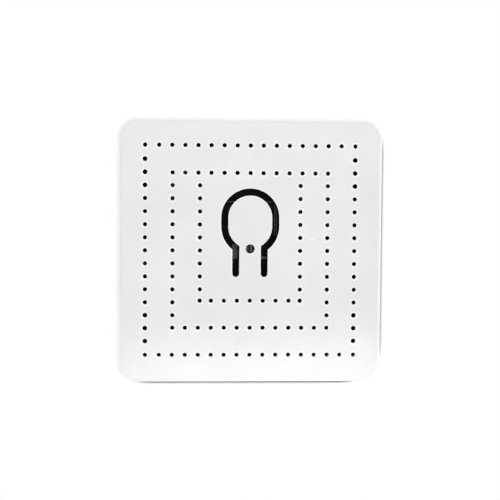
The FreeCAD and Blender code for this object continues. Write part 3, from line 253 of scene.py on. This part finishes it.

# A band round this height, over the case's rounded outer edge, is painted a little lighter as a highlight
edgeHighlight = {
    "height": 17.5,
    "fadesOut": 0.5,
    "full": 0.2,
    "shade": "#F9F8F8",
}
caseTree = casePlastic.node_tree
casePlace = addNode(caseTree, "ShaderNodeTexCoord").outputs["Object"]
caseHeight = addNode(caseTree, "ShaderNodeSeparateXYZ", {}, {"Vector": casePlace}).outputs["Z"]
edgeHighlightOffset = addNode(caseTree, "ShaderNodeMath", {"operation": "SUBTRACT"}, {
    0: caseHeight, 1: edgeHighlight["height"] * millimetre})
edgeHighlightReach = addNode(caseTree, "ShaderNodeMath", {"operation": "ABSOLUTE"}, {0: edgeHighlightOffset.outputs[0]})
edgeHighlightMask = addNode(caseTree, "ShaderNodeMapRange", {}, {
    "Value": edgeHighlightReach.outputs[0],
    "From Min": edgeHighlight["fadesOut"] * millimetre, "From Max": edgeHighlight["full"] * millimetre})
# Painted highlight: the band is mixed towards the lighter shade
repaint(casePlastic, edgeHighlightMask.outputs[0], edgeHighlight["shade"])

# The board's tracks: angular cells with raised edges, a little lighter than the mask between them
tracks = {
    "cell": 2.2,
    "disorder": 0.35,
    "fold": 0.12,
    "flank": (0.05, 0.07),
    "depth": 0.035,
    "shade": "#121017",
}
boardTree = maskedBoard.node_tree
boardPlace = addNode(boardTree, "ShaderNodeTexCoord").outputs["Object"]
trackCells = addNode(boardTree, "ShaderNodeTexVoronoi", {"distance": "CHEBYCHEV", "feature": "F1"}, {
    "Vector": boardPlace, "Scale": perMillimetre(tracks["cell"]), "Randomness": tracks["disorder"]})
trackEdge = addNode(boardTree, "ShaderNodeMath", {"operation": "PINGPONG"}, {
    0: trackCells.outputs["Distance"], 1: tracks["fold"]})
trackFoot, trackTop = tracks["flank"]
trackHeight = addNode(boardTree, "ShaderNodeMapRange", {}, {
    "Value": trackEdge.outputs[0], "From Min": trackFoot, "From Max": trackTop})
addRelief(maskedBoard, trackHeight.outputs[0], tracks["depth"])
repaint(maskedBoard, trackHeight.outputs[0], tracks["shade"])
print("finishes made:", len(bpy.data.materials))


# Pieces

# How near points merge, and how near counts as the same place, in millimetres; angles in degrees
meshCare = {
    "merge": 0.0005,
    "near": 0.01,
    "flatAngle": 0.2,
    "sharpAngle": 32,
    "softAngle": 40,
    "softSegments": 2,
}
# A face is a wall where the Z of its normal is under the first, and square to an axis over the second
wallTilt = 0.1
squareTilt = 0.98


def openNode(node):
    # A copy of a CAD node in millimetres, merged, with each flat side made one face again
    shape = bmesh.new()
    shape.from_mesh(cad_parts[node].data)
    bmesh.ops.scale(shape, vec=(metre, metre, metre), verts=shape.verts)
    bmesh.ops.remove_doubles(shape, verts=shape.verts, dist=meshCare["merge"])
    bmesh.ops.dissolve_limit(shape, angle_limit=math.radians(meshCare["flatAngle"]), verts=shape.verts,
                             edges=shape.edges)
    return shape


def linkMesh(shape, name):
    mesh = bpy.data.meshes.new(name)
    shape.to_mesh(mesh)
    shape.free()
    piece = bpy.data.objects.new(name, mesh)
    bpy.context.scene.collection.objects.link(piece)
    return piece


def carve(shape, cutter):
    # The cutter's shape is taken out of the first one
    carved = linkMesh(shape, "carved")
    tool = linkMesh(cutter, "tool")
    step = carved.modifiers.new("carve", "BOOLEAN")
    step.operation = "DIFFERENCE"
    step.solver = "EXACT"
    step.object = tool
    result = bmesh.new()
    result.from_object(carved, bpy.context.evaluated_depsgraph_get())
    for helper in (carved, tool):
        mesh = helper.data
        bpy.data.objects.remove(helper)
        bpy.data.meshes.remove(mesh)
    bmesh.ops.remove_doubles(result, verts=result.verts, dist=meshCare["merge"])
    return result


def finishPiece(shape, name, materials, body, nodes, sharp=meshCare["sharpAngle"], soften=0.0):
    for edge in shape.edges:
        edge.smooth = edge.calc_face_angle(math.pi) < math.radians(sharp)
    for face in shape.faces:
        face.smooth = True
    bmesh.ops.scale(shape, vec=(millimetre, millimetre, millimetre), verts=shape.verts)
    piece = linkMesh(shape, name)
    for material in materials:
        piece.data.materials.append(material)
    if soften:
        edgeRound = piece.modifiers.new("edgeRound", "BEVEL")
        edgeRound.width = soften * millimetre
        edgeRound.segments = meshCare["softSegments"]
        edgeRound.limit_method = "ANGLE"
        edgeRound.angle_limit = math.radians(meshCare["softAngle"])
    evenNormals = piece.modifiers.new("evenNormals", "WEIGHTED_NORMAL")
    evenNormals.keep_sharp = True
    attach(piece, body)
    if nodes:
        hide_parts(*nodes)


def turnedShape(profile, sides):
    # A turned shape about Z from (radius, height) points, closed on the axis or where they began
    shape = bmesh.new()
    points = [shape.verts.new((radius, 0, height)) for radius, height in profile]
    lines = [shape.edges.new(pair) for pair in zip(points, points[1:])]
    bmesh.ops.spin(shape, geom=points + lines, cent=(0, 0, 0), axis=(0, 0, 1), angle=2 * math.pi,
                   steps=sides, use_merge=True)
    bmesh.ops.remove_doubles(shape, verts=shape.verts, dist=meshCare["merge"])
    bmesh.ops.recalc_face_normals(shape, faces=shape.faces)
    return shape


def addCopy(shape, part, place):
    # Another bmesh goes into this one, moved by a matrix
    mesh = bpy.data.meshes.new("copy")
    part.to_mesh(mesh)
    mesh.transform(place)
    shape.from_mesh(mesh)
    bpy.data.meshes.remove(mesh)


# Front cover: the vents and the slot get shallow, slightly polished rims, painted lighter as a highlight
# A ring of vents is its half side, its vents each way from the middle, and whether it is closed

cover = {
    "faceHeight": 18.0,
    "skin": 1.6,
    "rings": ((15.51, 7, True), (11.47, 5, True), (7.43, 3, False)),
    "openRingExtra": 2,
    "ventPitch": 1.922,
    "ventRadius": 0.313,
    "wideVentRadius": 0.35,
    "wideFrom": 4.5,
    "ventFlare": 0.5,
    "ventOverrun": 0.3,
    "ventSides": 24,
    "rimWidth": 0.24,
    "rimDepth": 0.1,
    "rimOverrun": 0.5,
    "rimsWithin": 17.0,
    "slotEase": 0.05,
    "draft": 0.22,
    "hingeLine": -3.43,
    "hingeHalf": 1.64,
    "keyholeX": (-4.6, 4.6),
    "keyholeY": (-4.2, 9.4),
}


def ventPlaces():
    # Three square rings: the open one has no top row, and its columns run on instead
    pitch = cover["ventPitch"]
    places = []
    for half, count, closed in cover["rings"]:
        steps = range(-count, count + 1)
        rows = (-half, half) if closed else (-half,)
        places += [(step * pitch, row) for row in rows for step in steps]
        places += [(side, row) for row in rows for side in (-half, half)]
        columns = steps if closed else range(-count, count + 1 + cover["openRingExtra"])
        places += [(side, step * pitch) for side in (-half, half) for step in columns]
    return places


def makeVentCutters():
    # The sloping rim runs on above the face, by a share of its own size, and the flare below the skin
    radius = cover["ventRadius"]
    high = cover["faceHeight"] + cover["rimOverrun"] * cover["rimDepth"]
    low = cover["faceHeight"] - cover["skin"] - cover["ventOverrun"]
    single = turnedShape([
        (0, high),
        (radius + (1 + cover["rimOverrun"]) * cover["rimWidth"], high),
        (radius, cover["faceHeight"] - cover["rimDepth"]),
        (cover["ventFlare"], low),
        (0, low),
    ], cover["ventSides"])
    # The outer columns have slightly wider vents beyond this many pitches from the middle
    outer = cover["rings"][0][0]
    wideFrom = cover["wideFrom"] * cover["ventPitch"]
    cutters = bmesh.new()
    for x, y in ventPlaces():
        wide = abs(x) == outer and wideFrom < abs(y) < outer
        grow = cover["wideVentRadius"] / radius if wide else 1.0
        addCopy(cutters, single, Matrix.Translation((x, y, 0)) @ Matrix.Diagonal((grow, grow, 1, 1)))
    single.free()
    return cutters


def onHingeLine(place):
    return abs(place.y - cover["hingeLine"]) < meshCare["near"]


def topRimEdges(shape):
    # Upright walls meet the button face along these edges; the hinge line isn't one of them
    top = cover["faceHeight"] - meshCare["near"]
    rims = []
    for edge in shape.edges:
        if min(vert.co.z for vert in edge.verts) < top or len(edge.link_faces) != 2:
            continue
        hinged = all(onHingeLine(vert.co) and abs(vert.co.x) < cover["hingeHalf"] for vert in edge.verts)
        wall, face = sorted(abs(side.normal.z) for side in edge.link_faces)
        if wall < wallTilt and face > squareTilt and not hinged:
            rims.append(edge)
    return rims


def nearKeyhole(place):
    # The keyhole's region holds no vents
    left, right = cover["keyholeX"]
    front, back = cover["keyholeY"]
    return left < place.x < right and front < place.y < back


def makeSlotRims(shape, edges):
    # A shallow rim, and below it walls that lean back, so that they don't show from above
    bmesh.ops.bevel(shape, geom=edges, offset=cover["rimWidth"], offset_type="OFFSET", segments=1,
                    profile=0.5, affect="EDGES", material=-1, clamp_overlap=False)
    top = cover["faceHeight"]
    for vert in shape.verts:
        # The end faces of the hinge stay where they are
        walls = [side for side in vert.link_faces if abs(side.normal.z) < wallTilt
                 and not (onHingeLine(vert.co) and abs(side.normal.y) > squareTilt)]
        if not walls or not nearKeyhole(vert.co):
            continue
        lean = sum((side.normal for side in walls), Vector()).normalized()
        if abs(vert.co.z - (top - cover["skin"])) < meshCare["near"]:
            vert.co -= cover["draft"] * lean
        elif abs(vert.co.z - (top - cover["rimWidth"])) < meshCare["near"]:
            vert.co -= cover["slotEase"] * lean
            vert.co.z = top - cover["rimDepth"]


def paintRims(shape):
    # The narrow sloping faces just under the button face take the second material, whose lighter colour
    # is a painted highlight
    rimLow = cover["faceHeight"] - cover["rimDepth"] - meshCare["near"]
    for face in shape.faces:
        low = min(vert.co.z for vert in face.verts)
        reach = max(max(abs(vert.co.x), abs(vert.co.y)) for vert in face.verts)
        if reach < cover["rimsWithin"] and low > rimLow and wallTilt < face.normal.z < squareTilt:
            face.material_index = 1


coverShape = openNode("front_cover")
slotEdges = [edge for edge in topRimEdges(coverShape) if nearKeyhole(edge.verts[0].co)]
makeSlotRims(coverShape, slotEdges)
coverShape = carve(coverShape, makeVentCutters())
paintRims(coverShape)
finishPiece(coverShape, "coverShell", [casePlastic, rimPlasticWithPaintedHighlight], "housing", ["front_cover"])
print("cover made")

# Push tongue: its own rim, the light hole's rim, and the post behind it

tongueShape = openNode("button_tongue")
makeSlotRims(tongueShape, topRimEdges(tongueShape))
paintRims(tongueShape)
finishPiece(tongueShape, "pushTongue", [casePlastic, rimPlasticWithPaintedHighlight], "button", ["button_tongue"])
print("tongue made")

# Terminals: the poles stand in a row, evenly about the middle; the edges of the block and of the
# cages are softened by these widths

terminals = {
    "poles": 6,
    "pitch": 5.2,
    "screwRow": -14.3,
    "pinRow": -10.7,
    "blockEdge": 0.08,
    "cageEdge": 0.1,
}


def polePlaces(row):
    middle = (terminals["poles"] - 1) / 2
    return [((pole - middle) * terminals["pitch"], row) for pole in range(terminals["poles"])]


# Rear shell: round screwdriver holes with a small countersink, and the gate mark of the moulding, a
# shallow dish with the stub of the sprue in it

shell = {
    "holeRadius": 1.905,
    "holeRim": 0.2,
    "floor": 1.6,
    "dishRadius": 1.3,
    "dishDepth": 0.18,
    "stubRadius": 0.5,
    "stubTaper": 0.06,
    "stubTop": 0.06,
    "cutBelow": 0.5,
    "cutAbove": 0.02,
    "sides": 48,
}
driverCutter = turnedShape([
    (0, -shell["cutBelow"]),
    (shell["holeRadius"] + shell["holeRim"] + shell["cutBelow"], -shell["cutBelow"]),
    (shell["holeRadius"], shell["holeRim"]),
    (shell["holeRadius"], shell["floor"] + shell["cutAbove"]),
    (0, shell["floor"] + shell["cutAbove"]),
], shell["sides"])
gateCutter = turnedShape([
    (0, -shell["cutBelow"]),
    (shell["dishRadius"] + shell["dishDepth"] + shell["cutBelow"], -shell["cutBelow"]),
    (shell["dishRadius"], shell["dishDepth"]),
    (shell["stubRadius"] + shell["stubTaper"], shell["dishDepth"]),
    (shell["stubRadius"], shell["stubTop"]),
    (0, shell["stubTop"]),
], shell["sides"])
shellCutters = bmesh.new()
for x, y in polePlaces(terminals["screwRow"]):
    addCopy(shellCutters, driverCutter, Matrix.Translation((x, y, 0)))
addCopy(shellCutters, gateCutter, Matrix.Identity(4))
driverCutter.free()
gateCutter.free()
shellShape = carve(openNode("rear_shell"), shellCutters)
finishPiece(shellShape, "rearShell", [casePlastic], "housing", ["rear_shell"])
print("rear shell made")

# Terminal block, with slightly rounded edges

finishPiece(openNode("terminal_block"), "terminalBlock", [blockPlastic], "housing", ["terminal_block"],
            soften=terminals["blockEdge"])

# Clamp screws: a domed head with a cross recess, and a threaded shank
# Points of the dome are (share of the head's radius, height over its lowest point)

screw = {
    "headRadius": 1.7,
    "headLow": 2.7,
    "headTop": 4.1,
    "dome": ((0.62, 0.0), (0.9, 0.16), (1.0, 0.42)),
    "slotLength": 2.5,
    "slotWidth": 0.5,
    "slotDepth": 0.7,
    "shankRadius": 1.25,
    "shankTop": 7.8,
    "threads": 8,
    "threadPitch": 0.45,
    "threadDepth": 0.12,
    "rootShare": 0.1,
    "tipLength": 0.15,
    "tipTaper": 0.3,
    "sides": 40,
}


def makeScrewShape():
    crest = screw["shankRadius"]
    root = crest - screw["threadDepth"]
    pitch = screw["threadPitch"]
    outline = [(0, screw["headLow"])]
    outline += [(share * screw["headRadius"], screw["headLow"] + rise) for share, rise in screw["dome"]]
    outline += [(screw["headRadius"], screw["headTop"]), (root, screw["headTop"])]
    for thread in range(screw["threads"]):
        start = screw["headTop"] + thread * pitch
        outline.append((root, start + screw["rootShare"] * pitch))
        outline.append((crest, start + pitch / 2))
        outline.append((root, start + (1 - screw["rootShare"]) * pitch))
    outline += [
        (root, screw["shankTop"] - screw["tipLength"]),
        (crest - screw["tipTaper"], screw["shankTop"]),
        (0, screw["shankTop"]),
    ]
    shape = turnedShape(outline, screw["sides"])
    # The slots are cut one after the other, because a cutter that crosses itself leaves nothing
    size = Matrix.Diagonal((screw["slotLength"], screw["slotWidth"], 2 * screw["slotDepth"], 1))
    for turn in (0, math.pi / 2):
        slot = bmesh.new()
        bmesh.ops.create_cube(slot, size=1, matrix=Matrix.Translation((0, 0, screw["headLow"]))
                              @ Matrix.Rotation(turn, 4, "Z") @ size)
        shape = carve(shape, slot)
    return shape


screwShape = makeScrewShape()
for pole, (x, y) in enumerate(polePlaces(terminals["screwRow"]), start=1):
    moved = bmesh.new()
    addCopy(moved, screwShape, Matrix.Translation((x, y, 0)))
    finishPiece(moved, f"clampScrew{pole}", [zincSteel], f"screw_{pole}",
                [f"terminal_screw_{pole}"])
screwShape.free()

# Rising cages, folded from strip
for pole in range(1, terminals["poles"] + 1):
    finishPiece(openNode(f"terminal_cage_{pole}"), f"clampCage{pole}", [nickelSteel], f"cage_{pole}",
                [f"terminal_cage_{pole}"], soften=terminals["cageEdge"])
print("terminals made")


# Windings: real turns of round wire over a filled middle

windings = {
    "relayWinding": {"node": "relay_winding", "axis": "X", "across": "Y", "turns": 24, "core": 2.1},
    "chokeWinding": {"node": "choke_winding", "axis": "Z", "across": "X", "turns": 12, "core": 1.9},
}
wire = {
    "fullness": 0.98,
    "sides": 8,
    "stepsPerTurn": 30,
    "layerInset": 0.02,
    "layerSides": 48,
    "sharpAngle": 60,
}


def measureRound(look):
    # Middle, length and outer radius of a round CAD node, measured along its axis and across it
    low, high = (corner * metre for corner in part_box(look["node"]))
    along, across = ("XYZ".index(look[way]) for way in ("axis", "across"))
    return (low + high) / 2, high[along] - low[along], (high[across] - low[across]) / 2


def layShape(shape, middle, axis):
    # A shape that was made about Z goes to its place, and lies along X if the real one does
    turned = Matrix.Rotation(math.pi / 2, 4, "Y") if axis == "X" else Matrix.Identity(4)
    bmesh.ops.transform(shape, matrix=Matrix.Translation(middle) @ turned, verts=shape.verts)


def makeWinding(look):
    middle, length, outer = measureRound(look)
    pitch = length / (look["turns"] + 1)
    wireRadius = pitch / 2
    steps = wire["stepsPerTurn"]
    coil = bmesh.new()
    ring = bmesh.ops.create_circle(coil, cap_ends=False, segments=wire["sides"],
                                   radius=wireRadius * wire["fullness"])
    stand = (Matrix.Translation((outer - wireRadius, 0, -length / 2 + wireRadius))
             @ Matrix.Rotation(math.pi / 2, 4, "X"))
    bmesh.ops.transform(coil, matrix=stand, verts=ring["verts"])
    bmesh.ops.spin(coil, geom=coil.verts[:] + coil.edges[:], cent=(0, 0, 0), axis=(0, 0, 1),
                   dvec=(0, 0, pitch / steps), angle=2 * math.pi * look["turns"],
                   steps=steps * look["turns"])
    bmesh.ops.holes_fill(coil, edges=coil.edges[:], sides=wire["sides"])
    layerEnd = length / 2 - wire["layerInset"]
    layer = turnedShape([
        (look["core"], -layerEnd),
        (outer - wireRadius, -layerEnd),
        (outer - wireRadius, layerEnd),
        (look["core"], layerEnd),
        (look["core"], -layerEnd),
    ], wire["layerSides"])
    addCopy(coil, layer, Matrix.Identity(4))
    layer.free()
    layShape(coil, middle, look["axis"])
    bmesh.ops.recalc_face_normals(coil, faces=coil.faces)
    return coil


for name, look in windings.items():
    finishPiece(makeWinding(look), name, [enamelledWire], "housing", [look["node"]],
                sharp=wire["sharpAngle"])
print("windings made")

# Small electrolytic cans: the closed end's edge is turned over, and a groove runs round by the seal
# Points of the closed end are (inset from the radius, height over that end), and the groove, the
# crimp and the mouth are measured from the open end

cans = {
    "inputCan": {"node": "input_capacitor", "axis": "X", "across": "Y", "groove": 0.35,
                 "material": shrinkSleeve, "slot": "can_sleeve"},
    "outputCan": {"node": "output_capacitor", "axis": "Z", "across": "Y", "groove": 0.3,
                  "material": drawnAluminium, "slot": "aluminium_can"},
}
canForm = {
    "closedEnd": ((0.9, 0.06), (0.6, 0.0), (0.3, 0.0), (0.08, 0.1), (0.0, 0.35)),
    "grooveStart": 2.2,
    "grooveFloor": (1.75, 1.45),
    "grooveEnd": 1.0,
    "crimp": 0.25,
    "mouthShare": 0.85,
    "mouthDepth": 0.5,
    "sides": 48,
}


def makeCan(look):
    middle, length, radius = measureRound(look)
    half = length / 2
    mouth = radius * canForm["mouthShare"]
    outline = [(radius - inset, -half + rise) for inset, rise in canForm["closedEnd"]]
    outline.insert(0, (0, outline[0][1]))
    outline.append((radius, half - canForm["grooveStart"]))
    outline += [(radius - look["groove"], half - drop) for drop in canForm["grooveFloor"]]
    outline += [
        (radius, half - canForm["grooveEnd"]),
        (radius, half - canForm["crimp"]),
        (radius - canForm["crimp"], half),
        (mouth, half),
        (mouth, half - canForm["mouthDepth"]),
        (0, half - canForm["mouthDepth"]),
    ]
    can = turnedShape(outline, canForm["sides"])
    layShape(can, middle, look["axis"])
    return can


for name, look in cans.items():
    finishPiece(makeCan(look), name, [look["material"]], "housing", [look["node"]])
print("cans made")

# Block-like parts inside: their node, finish and slot, and how far their edges are softened

softened = {
    "relayCase": ("relay_case", relayPlastic, "relay_plastic", 0.25),
    "radioShield": ("wifi_shield", tinplatePaintedShade, "tinned_metal", 0.12),
    "bridgeChip": ("bridge_rectifier", chipEpoxy, "chip_epoxy", 0.05),
    "regulatorChip": ("regulator_chip", chipEpoxy, "chip_epoxy", 0.05),
    "varistorDisc": ("varistor", epoxyCoat, "epoxy_coat", 0.6),
    "fuseBody": ("fuse_resistor", cementCoat, "resistor_coat", 0.2),
    "canBase": ("output_capacitor_base", innerPlastic, "inner_plastic", 0.2),
}
for name, (node, material, slotName, width) in softened.items():
    finishPiece(openNode(node), name, [material], "housing", [node], soften=width)

# Thin flat strips, each with its X span, its Y span and the surface that it lies on: print on the two
# boards, round the key and by the legs of the slot, and the light's electrodes under its dark resin

boardTop = 13.6
radioTop = 14.4
lightTop = 14.5
stripThickness = 0.02
printedLines = (
    (-3.3, 3.8, 7.14, 7.26, boardTop),
    (3.81, 3.93, 2.1, 7.2, radioTop),
    (4.1, 4.22, 2.1, 7.2, radioTop),
    (1.5, 2.9, -1.44, -1.1, boardTop),
    (-2.5, -1.72, -1.48, 0.75, boardTop),
)
electrodes = (
    (-0.53, -0.3, -0.38, 0.92, lightTop),
    (0.19, 0.5, -0.38, 0.92, lightTop),
)


def makeStrips(spans):
    strips = bmesh.new()
    for left, right, front, back, surface in spans:
        size = Matrix.Diagonal((right - left, back - front, stripThickness, 1))
        middle = ((left + right) / 2, (front + back) / 2, surface + stripThickness / 2)
        bmesh.ops.create_cube(strips, size=1, matrix=Matrix.Translation(middle) @ size)
    return strips


finishPiece(makeStrips(printedLines), "boardPrint", [thinInk], "housing", [])

# Solder round each pin of the terminal bars, as (radius, height) points of the fillet on the board

solder = {
    "fillet": ((0.95, -0.02), (0.684, 0.08), (0.483, 0.39), (0.42, 0.65)),
    "sides": 20,
}
fillet = [(radius, boardTop + height) for radius, height in solder["fillet"]]
jointShape = turnedShape([(0, fillet[0][1]), *fillet, (0, fillet[-1][1])], solder["sides"])
solderShape = bmesh.new()
for x, y in polePlaces(terminals["pinRow"]):
    addCopy(solderShape, jointShape, Matrix.Translation((x, y, 0)))
jointShape.free()
finishPiece(solderShape, "solderJoints", [tinnedMetal], "housing", [])

finishPiece(makeStrips(electrodes), "lightBars", [veiledElectrode], "housing", [])
print("board details made")

# The other CAD parts keep their own shape under their real finish

plainFinishes = {
    "main_board": maskedBoard,
    "wifi_board": maskedBoard,
    "terminal_contacts": stampedBrass,
    "relay_base": innerPlastic,
    "relay_bobbin": innerPlastic,
    "relay_core": softIron,
    "relay_yoke": softIron,
    "relay_armature": softIron,
    "relay_blade": stampedBrass,
    "relay_moving_contact": tinnedMetal,
    "relay_fixed_contact": stampedBrass,
    "relay_pins": leadTinPaintedShade,
    "switch_base": innerPlastic,
    "switch_sheet": tinplatePaintedShade,
    "switch_plunger": innerPlastic,
    "switch_dome": nickelSteel,
    "switch_tabs": tinplatePaintedShade,
    "status_led_base": chipEpoxy,
    "status_led_lens": ledResin,
    "wifi_antenna": stampedBrass,
    "input_capacitor_seal": rubberSeal,
    "choke_core": ferrite,
    "component_leads": tinnedMetal,
    "chip_leads": leadTinPaintedShade,
    "chip_parts": ceramicPart,
}
for node, material in plainFinishes.items():
    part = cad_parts[node]
    part.data.materials.clear()
    part.data.materials.append(material)
print("plain parts finished:", len(plainFinishes))


# Floor, light and camera

# The floor shows white and still takes a faint shadow, and a thin painted contact shadow: its glow is
# mixed towards a dark grey where occlusion, looked for in a turned direction, finds the case near, on the
# sides of the case that face away from the bulb end's left corner. contactFade is the share of open sky
# at which that line starts, and at which it is full. The floor's half side is in metres
studio = {
    "floorHalf": 1.5,
    "floorDrop": 0.05,
    "floorGlow": 1.02,
    "floorShade": "#F4F4F4",
    "shadowShare": 0.08,
    "contactReach": 3.75,
    "contactTurn": (-0.59, 0.79, 0.06),
    "contactFade": (0.963, 0.93),
    "contactShade": "#505054",
    "contactSamples": 32,
    "horizonStrength": 2.6,
    "zenithStrength": 0.22,
    "horizonHeight": 0.5,
    "white": "#FFFFFF",
}
floorMesh = bmesh.new()
bmesh.ops.create_grid(floorMesh, x_segments=1, y_segments=1, size=studio["floorHalf"])
bmesh.ops.translate(floorMesh, vec=(0, 0, -studio["floorDrop"] * millimetre), verts=floorMesh.verts)
floor = linkMesh(floorMesh, "studioFloor")
paper = bpy.data.materials.new("whitePaper")
paper.use_nodes = True
paperTree = paper.node_tree
paperTree.nodes.clear()
path = addNode(paperTree, "ShaderNodeLightPath")
seen = addNode(paperTree, "ShaderNodeMath", {"operation": "MAXIMUM"}, {
    0: path.outputs["Is Camera Ray"], 1: path.outputs["Is Glossy Ray"]})
seenOrClear = addNode(paperTree, "ShaderNodeMath", {"operation": "MAXIMUM"}, {
    0: seen.outputs[0], 1: path.outputs["Is Transmission Ray"]})
share = addNode(paperTree, "ShaderNodeMath", {"operation": "MULTIPLY"}, {
    0: seenOrClear.outputs[0], 1: 1 - studio["shadowShare"]})
matt = addNode(paperTree, "ShaderNodeBsdfDiffuse", {}, {"Color": colour(studio["floorShade"])})
turnX, turnY, turnZ = studio["contactTurn"]
facing = addNode(paperTree, "ShaderNodeCombineXYZ", {}, {"X": turnX, "Y": turnY, "Z": turnZ})
hidden = addNode(paperTree, "ShaderNodeAmbientOcclusion", {"samples": studio["contactSamples"]}, {
    "Distance": studio["contactReach"] * millimetre, "Normal": facing.outputs[0]})
fadeStart, fadeFull = studio["contactFade"]
contact = addNode(paperTree, "ShaderNodeMapRange", {}, {
    "Value": hidden.outputs["AO"], "From Min": fadeStart, "From Max": fadeFull})
# Painted shadow: the floor's glow is mixed towards the dark grey where the occlusion is high
shaded = addNode(paperTree, "ShaderNodeMix", {"data_type": "RGBA"}, {
    0: contact.outputs[0], 6: colour(studio["white"]), 7: colour(studio["contactShade"])})
glow = addNode(paperTree, "ShaderNodeEmission", {}, {
    "Color": shaded.outputs[2], "Strength": studio["floorGlow"]})
sheet = addNode(paperTree, "ShaderNodeMixShader", {}, {
    0: share.outputs[0], 1: matt.outputs[0], 2: glow.outputs[0]})
addNode(paperTree, "ShaderNodeOutputMaterial", {}, {"Surface": sheet.outputs[0]})
floor.data.materials.append(paper)

# The world is bright at the horizon and dim overhead, and shows white to the camera
world = bpy.data.worlds.new("studio")
bpy.context.scene.world = world
world.use_nodes = True
worldTree = world.node_tree
worldTree.nodes.clear()
worldPath = addNode(worldTree, "ShaderNodeLightPath")
skyPlace = addNode(worldTree, "ShaderNodeTexCoord").outputs["Generated"]
skyHeight = addNode(worldTree, "ShaderNodeSeparateXYZ", {}, {"Vector": skyPlace}).outputs["Z"]
skyStrength = addNode(worldTree, "ShaderNodeMapRange", {}, {
    "Value": skyHeight, "From Min": 0.0, "From Max": studio["horizonHeight"],
    "To Min": studio["horizonStrength"], "To Max": studio["zenithStrength"]})
soft = addNode(worldTree, "ShaderNodeBackground", {}, {
    "Color": colour(studio["white"]), "Strength": skyStrength.outputs[0]})
white = addNode(worldTree, "ShaderNodeBackground", {}, {
    "Color": colour(studio["white"]), "Strength": 1.0})
sky = addNode(worldTree, "ShaderNodeMixShader", {}, {
    0: worldPath.outputs["Is Camera Ray"], 1: soft.outputs[0], 2: white.outputs[0]})
addNode(worldTree, "ShaderNodeOutputWorld", {}, {"Surface": sky.outputs[0]})

# A wide softbox overhead, and a gridded strip over the terminal end
lamps = {
    "softbox": {"place": (95.0, 55.0, 990.0), "aim": (0.0, 0.0, 18.0), "size": (420.0, 420.0),
                "watts": 5.0, "spread": 180.0},
    "gridStrip": {"place": (3.0, -23.5, 118.0), "aim": (3.0, -23.5, 18.0), "size": (50.0, 7.0),
                  "watts": 0.0006, "spread": 17.0},
}
for name, look in lamps.items():
    lamp = bpy.data.lights.new(name, "AREA")
    lamp.shape = "RECTANGLE"
    lamp.size, lamp.size_y = (side * millimetre for side in look["size"])
    lamp.energy = look["watts"]
    lamp.spread = math.radians(look["spread"])
    holder = bpy.data.objects.new(name, lamp)
    place = Vector(look["place"]) * millimetre
    holder.location = place
    holder.rotation_euler = (Vector(look["aim"]) * millimetre - place).to_track_quat("-Z", "Y").to_euler()
    holder.visible_camera = False
    bpy.context.scene.collection.objects.link(holder)

# The camera looks down on the button face from 150 mm, a few degrees off square
view = {
    "turns": ((2.976, "X"), (2.907, "Y"), (-0.385, "Z")),
    "offset": (0.020, -0.110, -150.0),
    "target": (0.0, 0.0, 18.0),
    "focalPixels": 1013.9,
    "imagePixels": 500,
    "sensor": 36.0,
    "clipStart": 10.0,
}
turn = Matrix.Identity(3)
for angle, axis in view["turns"]:
    turn = turn @ Matrix.Rotation(math.radians(angle), 3, axis)
cameraData = bpy.data.cameras.new("camera")
cameraData.sensor_width = view["sensor"]
cameraData.lens = view["focalPixels"] / view["imagePixels"] * view["sensor"]
cameraData.clip_start = view["clipStart"] * millimetre
camera = bpy.data.objects.new("camera", cameraData)
eye = (Vector(view["target"]) - turn.transposed() @ Vector(view["offset"])) * millimetre
camera.matrix_world = Matrix.Translation(eye) @ turn.transposed().to_4x4()
bpy.context.scene.collection.objects.link(camera)
bpy.context.scene.camera = camera
bpy.context.scene.view_settings.view_transform = "Standard"
print("studio made")
